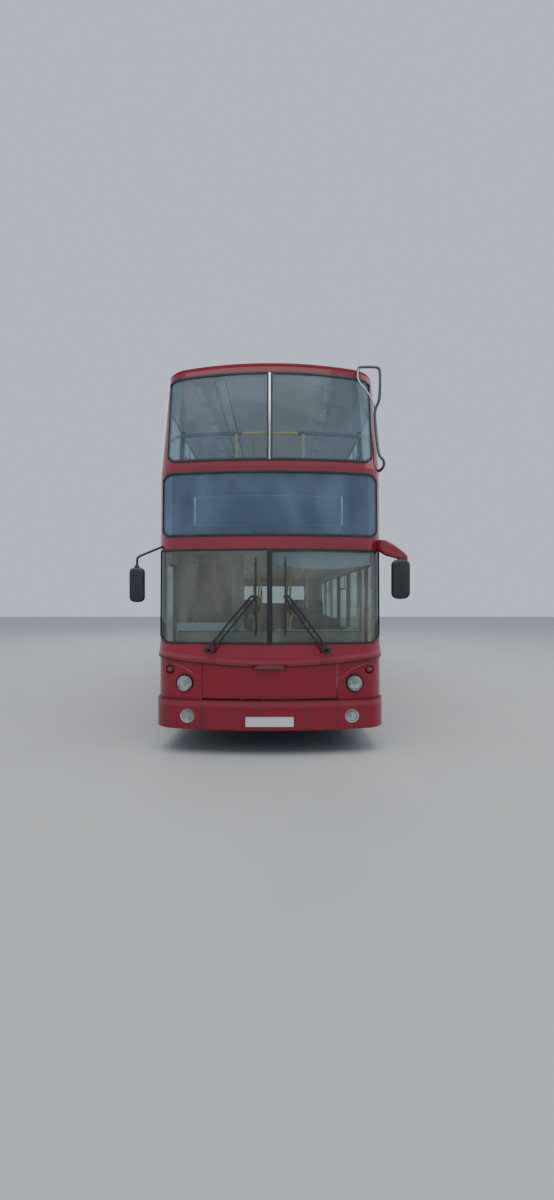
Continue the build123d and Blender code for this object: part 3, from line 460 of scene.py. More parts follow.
def fitted(piece, body, finish=None, stands_for=()):
    """Gives a finished piece its finish, its body and the CAD nodes that it stands for."""
    if finish:
        coated(piece, finish)
    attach(piece, body)
    if stands_for:
        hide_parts(*stands_for)
    return piece


def skin_of(name, node, test):
    """A copy of the CAD node's faces that pass the test, left in edit mode as one surface."""
    made = linked(bpy.data.objects.new(name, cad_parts[node].data.copy()))
    alone(made)
    bpy.ops.mesh.customdata_custom_splitnormals_clear()
    bpy.ops.object.mode_set(mode="EDIT")
    bpy.ops.mesh.select_mode(type="FACE")
    bpy.ops.mesh.select_all(action="SELECT")
    bpy.ops.mesh.remove_doubles(threshold=0.00002)
    pick(made, lambda middle, normal: not test(middle, normal))
    bpy.ops.mesh.delete(type="FACE")
    return made


def glazing_rubber(name, node, test, width, proud, body="body", bare=0.0):
    """A raised strip round each pane, left off within the bare distance of the centre line."""
    rim = skin_of(name, node, test)
    bpy.ops.mesh.select_all(action="SELECT")
    bpy.ops.mesh.inset(thickness=width, use_boundary=True, use_even_offset=False)
    bpy.ops.mesh.delete(type="FACE")
    pick(rim, lambda middle, normal: abs(middle.x) < bare)
    bpy.ops.mesh.delete(type="FACE")
    bpy.ops.object.mode_set(mode="OBJECT")
    modified(rim, "SOLIDIFY", thickness=proud, offset=1, use_even_offset=True)
    modified(rim, "BEVEL", width=proud * 0.3, segments=2, angle_limit=radians(50), limit_method="ANGLE")
    return fitted(smooth(rim), body, black_rubber)


def ahead(middle, normal):
    return normal.x * middle.x * 4 + normal.y * middle.y > 0.8 and abs(normal.z) < 0.5 and middle.y < 0


glazing_rubber("screen_rubber", "front_glass", lambda m, n: ahead(m, n) and m.z < 2.3, 0.022, 0.009, bare=0.055)
glazing_rubber("sign_rubber", "front_glass", lambda m, n: ahead(m, n) and 2.3 < m.z < 3.15, 0.028, 0.008)
glazing_rubber("upper_screen_rubber", "front_glass", lambda m, n: ahead(m, n) and m.z > 3.15, 0.03, 0.01)
glazing_rubber("side_rubbers", "side_glass", lambda m, n: n.x * m.x > 0.9, 0.02, 0.004)
glazing_rubber("exit_rubber", "exit_glass", lambda m, n: n.x * m.x > 0.9, 0.02, 0.004, "emergency_door")
glazing_rubber("rear_rubbers", "rear_glass", lambda m, n: n.y > 0.5, 0.03, 0.007)
for end in ("front", "rear"):
    glazing_rubber(f"door_rubber_{end}", f"door_glass_{end}", lambda m, n: abs(n.x) > 0.9, 0.014, 0.004,
        f"door_leaf_{end}")


# Sign box: a matt black mask behind the blind glass with a long display opening edged in pale trim.
# Nothing is shown on it; the display is blank.
sign = skin_of("sign_mask", "front_glass", lambda m, n: 2.3 < m.z < 3.15 and n.x * m.x * 4 + n.y * m.y < -0.8)
bpy.ops.mesh.select_all(action="SELECT")
bpy.ops.transform.resize(value=(0.974, 1, 1), center_override=(0, 0, 2.73))
bpy.ops.transform.translate(value=(0, 0.02, 0))
bpy.ops.mesh.flip_normals()
bpy.ops.object.mode_set(mode="OBJECT")
modified(sign, "SOLIDIFY", thickness=0.004, offset=-1)
mask = Coat("sign_black", Specular_IOR_Level=0.15)
sx, sy, sz = mask.split(mask.spot)
edge = abs(abs(sx + 0.015) - 0.812)
upright = edge.fade(0.012, 0.009) * sz.between(2.5, 2.82)
level = abs(abs(sz - 2.66) - 0.16).fade(0.004, 0.002) * (abs(sx + 0.015) < 0.812)
inner = (abs(sx + 0.015) < 0.812) * sz.between(2.5, 2.82)
shade = mask.blend((0.012, 0.02, 0.055), (0.03, 0.045, 0.11), inner)
shade = mask.blend(shade, (0.26, 0.31, 0.44), level * 0.7)
shade = mask.blend(shade, (0.85, 0.87, 0.9), upright)
fitted(sign, "body", mask.finish(Base_Color=shade, Roughness=mask.noise(5) * 0.2 + 0.45))


# Headlamps, fog lamps and indicators: round units pressed into the moulded front, all alike on both sides.
# A headlamp has a bright dish, a bulb and a clear lens in a dark ring; the indicators are faded amber.
def turned(name, centre, aim, rings, finish, sides=36):
    """A round piece raised ring by ring from a circle, (radius, height) along its aim, and closed at both ends."""
    radius, height = rings[0]
    made = fresh(name, bpy.ops.mesh.primitive_circle_add, vertices=sides, radius=radius, location=(0, 0, height))
    with editing(made):
        for next_radius, next_height in rings[1:]:
            bpy.ops.mesh.extrude_region_move(TRANSFORM_OT_translate={"value": (0, 0, next_height - height)})
            share = next_radius / radius
            bpy.ops.transform.resize(value=(share, share, 1), center_override=(0, 0, next_height))
            radius, height = next_radius, next_height
        bpy.ops.mesh.edge_face_add()
        bpy.ops.mesh.select_all(action="DESELECT")
        bpy.ops.mesh.select_mode(type="EDGE")
        bpy.ops.mesh.select_non_manifold()
        bpy.ops.mesh.edge_face_add()
        face_outward()
    made.rotation_mode = "QUATERNION"
    made.rotation_quaternion = Vector(aim).to_track_quat("Z", "Y")
    made.location = Vector(centre) + Vector(aim).normalized() * made.location.z
    bpy.ops.object.transform_apply()
    return coated(smooth(made), finish)


def joined(name, pieces):
    """Several pieces made into one, each face keeping its own finish."""
    alone(pieces[0])
    for piece in pieces:
        piece.select_set(True)
    bpy.ops.object.join()
    pieces[0].name = name
    return pieces[0]


def grouped(name, pieces, slot, *stands_for, body="body"):
    return fitted(joined(name, pieces), body, None, stands_for)


dish_metal = Coat("lamp_reflector", Metallic=1.0, Roughness=0.08)
# The dish's colour is broken into bright and dark facets as a painted reflection.
facets = dish_metal.cells(34, out="Color")
facet_painted_reflection = dish_metal.split(facets)[0].fade(0.15, 0.85)
reflector = dish_metal.finish(Base_Color=dish_metal.blend((0.42, 0.42, 0.41), (0.96, 0.96, 0.94), facet_painted_reflection),
    Normal=dish_metal.relief(dish_metal.cells(34), 0.004, 0.8))
lens = glazing("lamp_lens_clear", (0.82, 0.82, 0.8), 0.12)
amber = moulded("amber_lens", (0.3, 0.095, 0.055), 0.22, 160)
frosted = moulded("fog_lens", (0.5, 0.5, 0.47), 0.25, 130)
lamp_ring = bright_metal("lamp_ring", (0.5, 0.5, 0.5), 0.22)
lamp_bezel = moulded("lamp_bezel", (0.07, 0.014, 0.012), 0.4, 300, (0.09, 0.04, 0.03))
forward = (0, -1, 0)
lamps = []
for side in (-1, 1):
    at = (side * 0.937, -4.79, 0.768)
    lamps.append(turned("gap", at, forward,
        [(0.0985, -0.048), (0.0985, -0.001), (0.094, 0.001), (0.088, -0.01), (0.088, -0.0475)], black_rubber))
    lamps.append(turned("ring", at, forward,
        [(0.087, -0.047), (0.087, 0.0), (0.0845, 0.004), (0.081, 0.0), (0.081, -0.0465)], lamp_ring))
    dish = [(0.0805, -0.004), (0.074, -0.016), (0.06, -0.028), (0.04, -0.037), (0.022, -0.041)]
    lamps.append(turned("dish", at, forward, [(0.0805, -0.045), *dish], reflector))
    lamps.append(turned("bulb", at, forward,
        [(0.024, -0.042), (0.024, -0.03), (0.017, -0.024), (0.017, -0.012), (0.006, -0.008)], black_plastic, 20))
    lamps.append(turned("lens", at, forward,
        [(0.0815, -0.003), (0.079, 0.001), (0.06, 0.006), (0.035, 0.009), (0.012, 0.0105)], lens))
    at = (side * 0.897, -4.838, 0.419)
    fog_ring = [(0.0775, -0.045), (0.0775, 0.002), (0.074, 0.006), (0.068, 0.004), (0.064, -0.002),
        (0.064, -0.0445)]
    lamps.append(turned("fog_ring", at, forward, fog_ring, frosted))
    dish = [(0.0635, -0.043), (0.0635, -0.006), (0.055, -0.02), (0.035, -0.03), (0.015, -0.034)]
    lamps.append(turned("fog_dish", at, forward, dish, reflector))
    lamps.append(turned("lens", at, forward, [(0.0635, -0.005), (0.06, 0.0), (0.045, 0.004), (0.02, 0.006)], lens))
    at = (side * 1.105, -4.7, 0.915)
    lamps.append(turned("ring", at, forward, [(0.0455, -0.04), (0.0455, 0.0), (0.043, 0.003), (0.041, 0.0)],
        lamp_bezel, 28))
    lamps.append(turned("lens", at, forward,
        [(0.0405, -0.01), (0.0405, 0.004), (0.034, 0.011), (0.018, 0.0155), (0.005, 0.0165)], amber, 28))
grouped("lamp_units", lamps, "lamp_glass", "front_lamps")


# Branch guard: one grey tube bent round the upper kerb-side corner to push branches off the glass.
# It is a 34 mm tube that hugs the corner below its hoop, with a thin bright brace; both ends go into the shell.
def bent_tube(name, points, radius, finish, sides=3):
    """A round tube along a smooth line through or near the points."""
    made = fresh(name, bpy.ops.curve.primitive_nurbs_path_add)
    curve = made.data
    curve.splines.clear()
    line = curve.splines.new("NURBS")
    line.points.add(len(points) - 1)
    for point, place in zip(line.points, points):
        point.co = (*place, 1)
    line.order_u = 3
    line.use_endpoint_u = True
    line.resolution_u = 6
    curve.dimensions = "3D"
    curve.bevel_depth, curve.bevel_resolution, curve.use_fill_caps = radius, sides, True
    bpy.ops.object.convert(target="MESH")
    with editing(made):
        bpy.ops.mesh.remove_doubles(threshold=0.00005)
        bpy.ops.mesh.normals_make_consistent(inside=False)
    return coated(smooth(made, 50), finish)


def foot(name, place, radius, aim, finish):
    """A screwed flange at the end of a tube."""
    rings = [(radius, -0.002), (radius, 0.003), (radius * 0.92, 0.005), (radius * 0.5, 0.005),
        (radius * 0.4, 0.012)]
    return turned(name, place, aim, rings, finish, 20)


guard_tube = bright_metal("guard_tube", (0.15, 0.16, 0.17), 0.35)
guard = [
    bent_tube("hoop", [(1.0, -4.52, 4.275), (1.0, -4.63, 4.292), (1.0, -4.66, 4.296), (1.1, -4.66, 4.298),
        (1.208, -4.66, 4.296), (1.238, -4.66, 4.262), (1.24, -4.65, 4.1), (1.236, -4.635, 3.95),
        (1.222, -4.61, 3.9), (1.19, -4.57, 3.84), (1.204, -4.56, 3.67), (1.222, -4.58, 3.45), (1.238, -4.6, 3.31),
        (1.3, -4.6, 3.26), (1.29, -4.57, 3.17), (1.235, -4.49, 3.155)], 0.017, guard_tube),
    bent_tube("brace", [(1.0, -4.655, 4.294), (0.976, -4.655, 4.21), (1.0, -4.65, 4.13), (1.12, -4.63, 4.0),
        (1.17, -4.6, 3.92), (1.192, -4.572, 3.85)], 0.009, polished_tube),
]
grouped("branch_guard", guard, "chrome", "tree_guard")


# Wipers: two parked arms of black-painted steel, each a pair of rods that keep the blade upright.
# The blades stand upright near the middle; a spring box covers each spindle.
def bar(name, low, high, finish, soften=0.003):
    """A square piece between two corners with softened edges."""
    size = [b - a for a, b in zip(low, high)]
    made = fresh(name, bpy.ops.mesh.primitive_cube_add, size=1, location=[(a + b) / 2 for a, b in zip(low, high)])
    made.scale = size
    bpy.ops.object.transform_apply()
    with editing(made):
        bpy.ops.mesh.bevel(offset=min(soften, min(size) * 0.4), segments=2, affect="EDGES")
    return coated(smooth(made), finish)


wiper_parts = []
for x, tip, blade in ((-0.65, -0.18, -0.15), (0.61, 0.19, 0.17)):
    y = -4.93
    run = tip - x
    aside = 0.042 if run > 0 else -0.042
    wiper_parts += [
        turned("spindle", (x, y + 0.03, 1.14), forward,
            [(0.017, -0.06), (0.017, 0.018), (0.022, 0.022), (0.022, 0.034), (0.012, 0.04)], black_plastic, 20),
        bent_tube("arm", [(x - aside * 0.3, y, 1.15), (x + run * 0.3 - aside * 0.3, y - 0.004, 1.335),
            (x + run * 0.7 - aside * 0.3, y - 0.004, 1.57), (tip - aside * 0.2, y, 1.728)], 0.0115, black_plastic),
        bent_tube("link", [(x + aside * 0.8, y, 1.135), (x + run * 0.3 + aside * 0.8, y - 0.004, 1.31),
            (x + run * 0.7 + aside * 0.7, y - 0.004, 1.54), (tip + aside * 0.5, y, 1.705)], 0.0095, black_plastic),
        bar("box", (x - 0.05, y - 0.01, 1.113), (x + 0.05, y + 0.014, 1.176), black_plastic, 0.008),
        bar("bridge", (min(tip, blade) - 0.022, y - 0.007, 1.703), (max(tip, blade) + 0.022, y + 0.007, 1.73),
            black_plastic, 0.004),
        bar("spine", (blade - 0.01, y - 0.008, 1.3), (blade + 0.01, y + 0.002, 2.14), black_plastic, 0.002),
        bar("lip", (blade - 0.003, y + 0.001, 1.29), (blade + 0.003, y + 0.018, 2.15), black_rubber, 0.001),
    ]
    for z in (1.36, 1.53, 1.895, 2.07):
        wiper_parts.append(bar("claw", (blade - 0.013, y - 0.009, z - 0.014), (blade + 0.013, y + 0.01, z + 0.014),
            black_plastic, 0.002))
grouped("wiper_pair", wiper_parts, "black_plastic", "wipers")


# Mirrors: silvered glass in dark moulded heads, hung ahead of the front corners below the upper deck's floor.
# The road side has a slim head on a bent steel tube; the kerb side has a larger one under a broad red arm.
def drawn_out(name, along, stations, finish, rounding=0.0, levels=0, corner=0.0):
    """A closed form drawn through stations, each a centre and the half sizes of its rectangle across the run."""
    turn = {"X": (0, radians(90), 0), "Y": (radians(90), 0, 0), "Z": (0, 0, 0)}[along]

    def across(first, second):
        return {"X": (1, first, second), "Y": (first, 1, second), "Z": (first, second, 1)}[along]

    centre, halves = stations[0]
    made = fresh(name, bpy.ops.mesh.primitive_plane_add, size=2, location=centre, rotation=turn)
    bpy.ops.object.transform_apply()
    with editing(made):
        bpy.ops.transform.resize(value=across(*halves), center_override=centre)
        if corner:
            bpy.ops.mesh.bevel(offset=corner, segments=5, affect="VERTICES")
            bpy.ops.mesh.select_all(action="SELECT")
        for place, sizes in stations[1:]:
            step = [b - a for a, b in zip(centre, place)]
            bpy.ops.mesh.extrude_region_move(TRANSFORM_OT_translate={"value": step})
            ratio = [new / old for new, old in zip(sizes, halves)]
            bpy.ops.transform.resize(value=across(*ratio), center_override=place)
            centre, halves = place, sizes
        face_outward()
    if rounding:
        modified(made, "BEVEL", width=rounding, segments=3, limit_method="ANGLE", angle_limit=radians(40))
    if levels:
        modified(made, "SUBSURF", levels=levels, render_levels=levels)
    return coated(smooth(made, 40), finish)


def straight(name, along, line, stations, finish, *rounding, **more):
    """The same along a line given by its other two coordinates; each station is a place and two half sizes."""
    axis = "XYZ".index(along)
    placed = [((*line[:axis], place, *line[axis:]), halves) for place, *halves in stations]
    return drawn_out(name, along, placed, finish, *rounding, **more)


def mirror_head(x0, x1, z0, z1, y0, y1):
    """A domed shell, a top clamp and the silvered glass at its back."""
    x, z, a, b = (x0 + x1) / 2, (z0 + z1) / 2, (x1 - x0) / 2, (z1 - z0) / 2
    shell = [(y0, 0.72, 0.86), (y0 + 0.006, 0.86, 0.94), (y0 + 0.02, 0.98, 0.99), (y1 - 0.022, 1, 1),
        (y1 - 0.006, 0.99, 0.995), (y1, 0.95, 0.98)]
    return [
        drawn_out("shell", "Y", [((x, y, z), (a * share, b * tall)) for y, share, tall in shell], black_plastic,
            corner=a * 0.55),
        straight("glass", "Y", (x, z), [(y1 - 0.002, a * 0.86, b * 0.94), (y1 + 0.0006, a * 0.86, b * 0.94)],
            mirror_silver, corner=a * 0.48),
        bar("clamp", (x - 0.024, y0 + 0.012, z1 - 0.03), (x + 0.024, y1 - 0.012, z1 + 0.022), black_plastic, 0.006),
    ]


mirror_silver = bright_metal("mirror_silver", (0.86, 0.87, 0.88), 0.01)
moulded_red = body_paint("moulded_red", None)
mirror_parts = [
    *mirror_head(-1.54, -1.375, 1.655, 2.04, -4.83, -4.762),
    *mirror_head(1.342, 1.54, 1.69, 2.13, -4.83, -4.742),
    bent_tube("road_arm", [(-1.457, -4.795, 1.99), (-1.457, -4.795, 2.1), (-1.452, -4.795, 2.15),
        (-1.4, -4.765, 2.18), (-1.28, -4.675, 2.245), (-1.19, -4.605, 2.295)], 0.014, black_plastic),
    foot("road_foot", (-1.186, -4.602, 2.297), 0.034, (-1, -1.1, 0), black_plastic),
    drawn_out("kerb_arm", "X", [((1.172, -4.59, 2.305), (0.034, 0.04)), ((1.225, -4.64, 2.292), (0.038, 0.066)),
        ((1.29, -4.695, 2.262), (0.04, 0.088)), ((1.36, -4.745, 2.226), (0.036, 0.078)),
        ((1.425, -4.778, 2.186), (0.032, 0.06)), ((1.478, -4.786, 2.158), (0.028, 0.044)),
        ((1.512, -4.787, 2.14), (0.022, 0.024))], moulded_red, corner=0.02),
    bar("kerb_neck", (1.415, -4.808, 2.118), (1.475, -4.766, 2.16), black_plastic, 0.008),
    bar("kerb_plate", (1.168, -4.64, 2.262), (1.2, -4.575, 2.35), black_rubber, 0.008),
]
grouped("mirror_pair", mirror_parts, "black_plastic", "mirrors")


# Centre bars of the screens: a black gasket strip below, and above a bright extruded bar screwed over its gasket.
# The upper one leans back with the glass.
bars = [
    drawn_out("upper_gasket", "Z", [((0.004, -4.841, 3.2), (0.019, 0.004)),
        ((0.004, -4.6662, 4.24), (0.019, 0.004))], black_rubber, 0.002),
    drawn_out("upper_bar", "Z", [((-0.002, -4.8475, 3.212), (0.0105, 0.0045)),
        ((-0.002, -4.6768, 4.228), (0.0105, 0.0045))], polished_tube, 0.004),
    drawn_out("lower_gasket", "Z", [((0, -4.8965, 1.2), (0.0285, 0.006)), ((0, -4.8755, 2.24), (0.0285, 0.006))],
        black_rubber, 0.004),
]
grouped("centre_bars", bars, "black_rubber")


# Rail across the upper windscreen: one 32 mm tube bowed with the glass on two stanchions that stand on the sill.
# It is yellow in the middle and at its ends, with dark foam sleeves between for the knees of the front row.
def rail_y(x, bow=4.3):
    """How far along the bus the bowed rail lies at this place across."""
    return -4.61 + bow - sqrt(bow**2 - x**2)


def rail_run(name, x0, x1, radius, finish):
    steps = [x0 + (x1 - x0) * n / 6 for n in range(7)]
    return bent_tube(name, [(x, rail_y(x), 3.57) for x in steps], radius, finish, sides=4)


foam = moulded("foam_sleeve", (0.045, 0.05, 0.065), 0.75, 260)
rail = [rail_run("middle", -0.33, 0.33, 0.016, yellow_rail)]
post_y = rail_y(0.377)
for side in (-1, 1):
    rail += [
        rail_run("sleeve", side * 0.315, side * 1.02, 0.024, foam),
        bent_tube("end", [(side * 1.01, rail_y(1.01), 3.57), (side * 1.06, rail_y(1.06), 3.57),
            (side * 1.1, rail_y(1.12), 3.56), (side * 1.128, rail_y(1.13) + 0.02, 3.535)], 0.016, yellow_rail),
        foot("end_foot", (side * 1.13, rail_y(1.13) + 0.022, 3.53), 0.032, (side, 0.2, -0.5), yellow_rail),
        bent_tube("stanchion", [(side * 0.377, post_y, 3.565), (side * 0.377, post_y, 3.4),
            (side * 0.377, post_y, 3.155)], 0.016, yellow_rail),
        foot("stanchion_foot", (side * 0.377, post_y, 3.152), 0.034, (0, 0, 1), yellow_rail),
        turned("tee", (side * 0.377, post_y, 3.54), (0, 0, 1),
            [(0.017, -0.03), (0.021, -0.026), (0.021, 0.02), (0.017, 0.024)], yellow_rail, 20),
    ]
grouped("screen_rail", rail, "yellow_rail")


# Shaped front: a dark red strip under the smiling ledge as painted shade in its crease, and a raised brow over each
# headlamp's scoop.
# The brow is part of the moulding; it starts by the indicator and dies out at the flap's seam.
def shade_strip(name, node, test, thickness):
    """A dark strip on the faces of a node that pass the test, standing as painted shade."""
    bead = skin_of(name, node, test)
    bpy.ops.object.mode_set(mode="OBJECT")
    modified(bead, "SOLIDIFY", thickness=thickness, offset=1)
    return fitted(bead, "body", painted_shade_red)


def on_front(x, z, proud=0.0):
    """The point of the moulded front, seen from ahead, at this place across and up."""
    hit, place, normal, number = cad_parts["front_panel"].ray_cast(Vector((x, -6, z)), Vector((0, 1, 0)))
    return Vector((x, place.y if hit else -4.7, z)) + (normal * proud if hit else Vector())


# A dark red that stands for the shade in creases and gaps: painted shade.
painted_shade_red = moulded("painted_shade_red", (0.05, 0.005, 0.009), 0.45, 300, (0.09, 0.03, 0.03))
shade_strip("ledge_painted_shade", "front_panel", lambda m, n: n.z < -0.6 and m.y < -4.55 and 0.93 < m.z < 1.19, 0.018)
brows = []
for side in (-1, 1):
    arc = [on_front(side * x, z, -0.003)
        for x, z in ((1.1, 0.985), (1.04, 0.968), (0.96, 0.94), (0.89, 0.906), (0.83, 0.862), (0.785, 0.812))]
    brows.append(bent_tube("brow", arc, 0.013, moulded_red, sides=4))
grouped("lamp_brows", brows, "red_paint")


# Dashboard top: a grey demister ledge rises from the foot of the glass to a black slotted strip across the bus.
# Behind it stand the driver's pale blue-grey binnacle and instrument hood, and a pale shelf edge on the kerb side.
driver_x = -0.78
dash_cover = moulded("dash_cover", (0.34, 0.43, 0.52), 0.5, 500)
dash_base = moulded("dash_base", (0.13, 0.155, 0.15), 0.6, 420)
dash = []
for side in (-1, 1):
    for n in range(6):
        x = side * (0.16 + 0.15 * n)
        back = on_front(x, 1.13).y + 0.1
        dash.append(bar("slot", (x - 0.055, back, 1.15), (x + 0.055, back + 0.016, 1.1535), black_plastic, 0.001))
dash += [
    drawn_out("hood", "X", [((-1.085, -4.61, 1.182), (0.075, 0.02)), ((-1.02, -4.622, 1.202), (0.092, 0.04)),
        ((driver_x, -4.63, 1.215), (0.098, 0.052)), ((-0.54, -4.622, 1.202), (0.092, 0.04)),
        ((-0.475, -4.61, 1.182), (0.075, 0.02))], black_plastic, levels=1),
    straight("dials", "Y", (driver_x, 1.215), [(-4.536, 0.205, 0.036), (-4.529, 0.2, 0.032)], dash_cover,
        corner=0.02),
    drawn_out("demister", "Y", [((0, -4.742, 1.175), (1.03, 0.025)), ((0, -4.668, 1.235), (1.035, 0.083)),
        ((0, -4.64, 1.24), (1.035, 0.086))], dash_base, 0.006),
    bar("slot_strip", (-1.03, -4.668, 1.318), (1.03, -4.644, 1.332), black_plastic, 0.003),
    bar("pale_edge", (0.06, -4.648, 1.32), (1.02, -4.6, 1.345), dash_cover, 0.004),
    drawn_out("binnacle", "Y", [((-0.735, -4.646, 1.245), (0.32, 0.092)), ((-0.735, -4.6, 1.287), (0.316, 0.136)),
        ((-0.735, -4.58, 1.287), (0.312, 0.138))], dash_cover, 0.01),
    bar("ticket_stand", (-0.445, -4.6, 1.15), (-0.325, -4.49, 1.335), black_plastic, 0.012),
    bar("ticket_face", (-0.435, -4.492, 1.225), (-0.335, -4.484, 1.32), dash_cover, 0.003),
]
for x in (-0.88, -0.68):
    dash.append(turned("dial", (x, -4.528, 1.215), (0, 1, 0),
        [(0.04, -0.004), (0.04, 0.003), (0.036, 0.005), (0.034, 0.001)], lamp_ring, 24))
dash.append(bar("switches", (-1.06, -4.534, 1.152), (-0.5, -4.524, 1.174), black_plastic, 0.002))
grouped("dash_fittings", dash, "grey_plastic")
dress(dash_cover, "dashboard")


# Steering wheel: a 470 mm rim of black moulded polyurethane on two spokes, tilted on its column.
# A shroud hides the column's foot, a rubber gaiter its joint, and a stalk stands out on the road side.
rim = fresh("rim", bpy.ops.mesh.primitive_torus_add, major_radius=0.2195, minor_radius=0.0152, major_segments=56,
    minor_segments=12)
wheel_parts = [coated(smooth(rim, 60), black_plastic)]
for turn in (-1, 1):
    wheel_parts.append(drawn_out("spoke", "X",
        [((turn * 0.036, 0, -0.002), (0.03, 0.011)), ((turn * 0.12, 0, -0.006), (0.017, 0.008)),
        ((turn * 0.212, 0, 0.0), (0.022, 0.009))], black_plastic, 0.004))
wheel_parts.append(turned("hub", (0, 0, -0.02), (0, 0, 1),
    [(0.046, -0.01), (0.052, 0.004), (0.052, 0.026), (0.044, 0.038), (0.02, 0.042)], black_plastic))
driver_wheel = joined("driver_wheel", wheel_parts)
driver_wheel.rotation_euler = (radians(-25), 0, 0)
driver_wheel.location = (driver_x, -4.33, 1.19)
alone(driver_wheel)
bpy.ops.object.transform_apply()
column = [
    driver_wheel,
    bent_tube("column", [(driver_x, -4.338, 1.172), (driver_x, -4.43, 0.99), (driver_x, -4.52, 0.8)], 0.028,
        black_plastic, sides=4),
    drawn_out("shroud", "Z", [((driver_x, -4.53, 0.512), (0.05, 0.05)), ((driver_x, -4.53, 0.7), (0.048, 0.047)),
        ((driver_x, -4.515, 0.86), (0.04, 0.04))], black_plastic, corner=0.015),
    bent_tube("gaiter", [(driver_x, -4.485, 0.875), (driver_x, -4.46, 0.925)], 0.036, black_rubber, sides=4),
    bent_tube("stalk", [(-0.8, -4.4, 1.055), (-0.88, -4.4, 1.075), (-0.93, -4.395, 1.09)], 0.007, black_plastic),
]
grouped("steering_set", column, "black_plastic", "steering_wheel")


# Sun blind: a blue-grey roller blind pulled part of the way down inside the kerb-side half of the lower screen.
# The thin cloth hangs from its roller and its lower edge sags between the ends.
blind_cloth = Coat("blind_cloth")
threads = [blind_cloth.noise(1.0, 2, blind_cloth.scaled(*grain)) for grain in ((900, 900, 40), (40, 40, 900))]
warp = threads[0] * 0.5 + threads[1] * 0.5
tone = blind_cloth.blend((0.4, 0.5, 0.7), (0.52, 0.62, 0.82), blind_cloth.noise(3.0, 4))
blind_cloth.finish(Base_Color=blind_cloth.blend(tone, (0.18, 0.23, 0.32), warp.fade(0.55, 0.7) * 0.5),
    Roughness=warp * 0.1 + 0.75, Normal=blind_cloth.relief(warp, 0.0004, 0.6))
blind = fresh("sun_blind", bpy.ops.mesh.primitive_grid_add, x_subdivisions=40, y_subdivisions=8, size=1)
for point in blind.data.vertices:
    across, down = point.co.x + 0.5, 0.5 - point.co.y
    x = 0.06 + 1.05 * across
    sag = 0.055 * (1 - (2 * across - 1) ** 2) * down
    fold = 0.006 * sin(across * 34) * down
    y = -4.8 + x * x * 0.075 + fold + 0.02 * down
    point.co = (x, y, 2.225 - 0.15 * down - sag)
modified(blind, "SOLIDIFY", thickness=0.0012, offset=0)
fitted(smooth(blind, 60), "body", blind_cloth.material)
roller = [
    bent_tube("roller", [(0.05, -4.79, 2.215), (0.58, -4.772, 2.215), (1.12, -4.705, 2.215)], 0.016, black_plastic,
        sides=4),
    bar("bracket", (0.03, -4.812, 2.19), (0.052, -4.77, 2.236), black_plastic, 0.003),
]
grouped("blind_roller", roller, "black_plastic")


# Ceilings: pale laminate panels with joint strips, a boxed trunking along the road side and rows of long lamps.
# The upper deck's trunking starts just behind the front screen, as its dark edge shows from the road.
ceiling_panel = moulded("ceiling_panel", (0.62, 0.62, 0.6), 0.5, 600)
diffuser = Coat("lamp_diffuser")
ribs = diffuser.noise(1.0, 1, diffuser.scaled(4, 260, 4))
diffuser.finish(Base_Color=diffuser.blend((0.68, 0.69, 0.68), (0.76, 0.77, 0.76), ribs), Roughness=ribs * 0.2 + 0.3)


def roof_under(x, inset=0.046):
    """Height of the roof's inner face."""
    radius = (1.26**2 + 0.06**2) / (2 * 0.06)
    return 4.37 - inset - radius + sqrt((radius - inset) ** 2 - x**2)


def lamp_tray(x, y, under, depths):
    """A long lamp under the ceiling, each depth a drop and its two half sizes."""
    return straight("lamp", "Z", (x, y + 0.33), [(under - drop, a, b) for drop, a, b in depths], diffuser.material,
        corner=0.02)


top = roof_under(0.58)
ceiling = [bar("trunking", (-0.64, -4.37, top - 0.062), (-0.52, 4.56, top - 0.004), ceiling_panel, 0.012)]
for x in (-0.524, -0.646):
    ceiling.append(bar("trunking_edge", (x, -4.372, top - 0.064), (x + 0.01, 4.56, top - 0.02), black_plastic,
        0.002))
for n in range(12):
    y = -4.3 + 0.74 * n
    for x in (-0.86, 0.72):
        ceiling.append(lamp_tray(x, y, roof_under(abs(x)),
            ((0.002, 0.058, 0.27), (0.02, 0.056, 0.268), (0.032, 0.044, 0.256))))
    for x0, x1 in ((-1.13, -0.66), (-0.5, 0.5), (0.5, 1.13)):
        low = min(roof_under(x0), roof_under(x1))
        ceiling.append(bar("joint", (x0, y - 0.012, low - 0.006), (x1, y + 0.012, low - 0.001), ceiling_panel,
            0.002))
for n in range(11):
    y = -3.55 + 0.72 * n
    for x in (-0.6, 0.6):
        if x > 0 or y > -1.9:
            ceiling.append(lamp_tray(x, y, 2.27,
                ((0.001, 0.058, 0.25), (0.018, 0.056, 0.248), (0.03, 0.044, 0.238))))
grouped("ceiling_fittings", ceiling, "interior_panel")


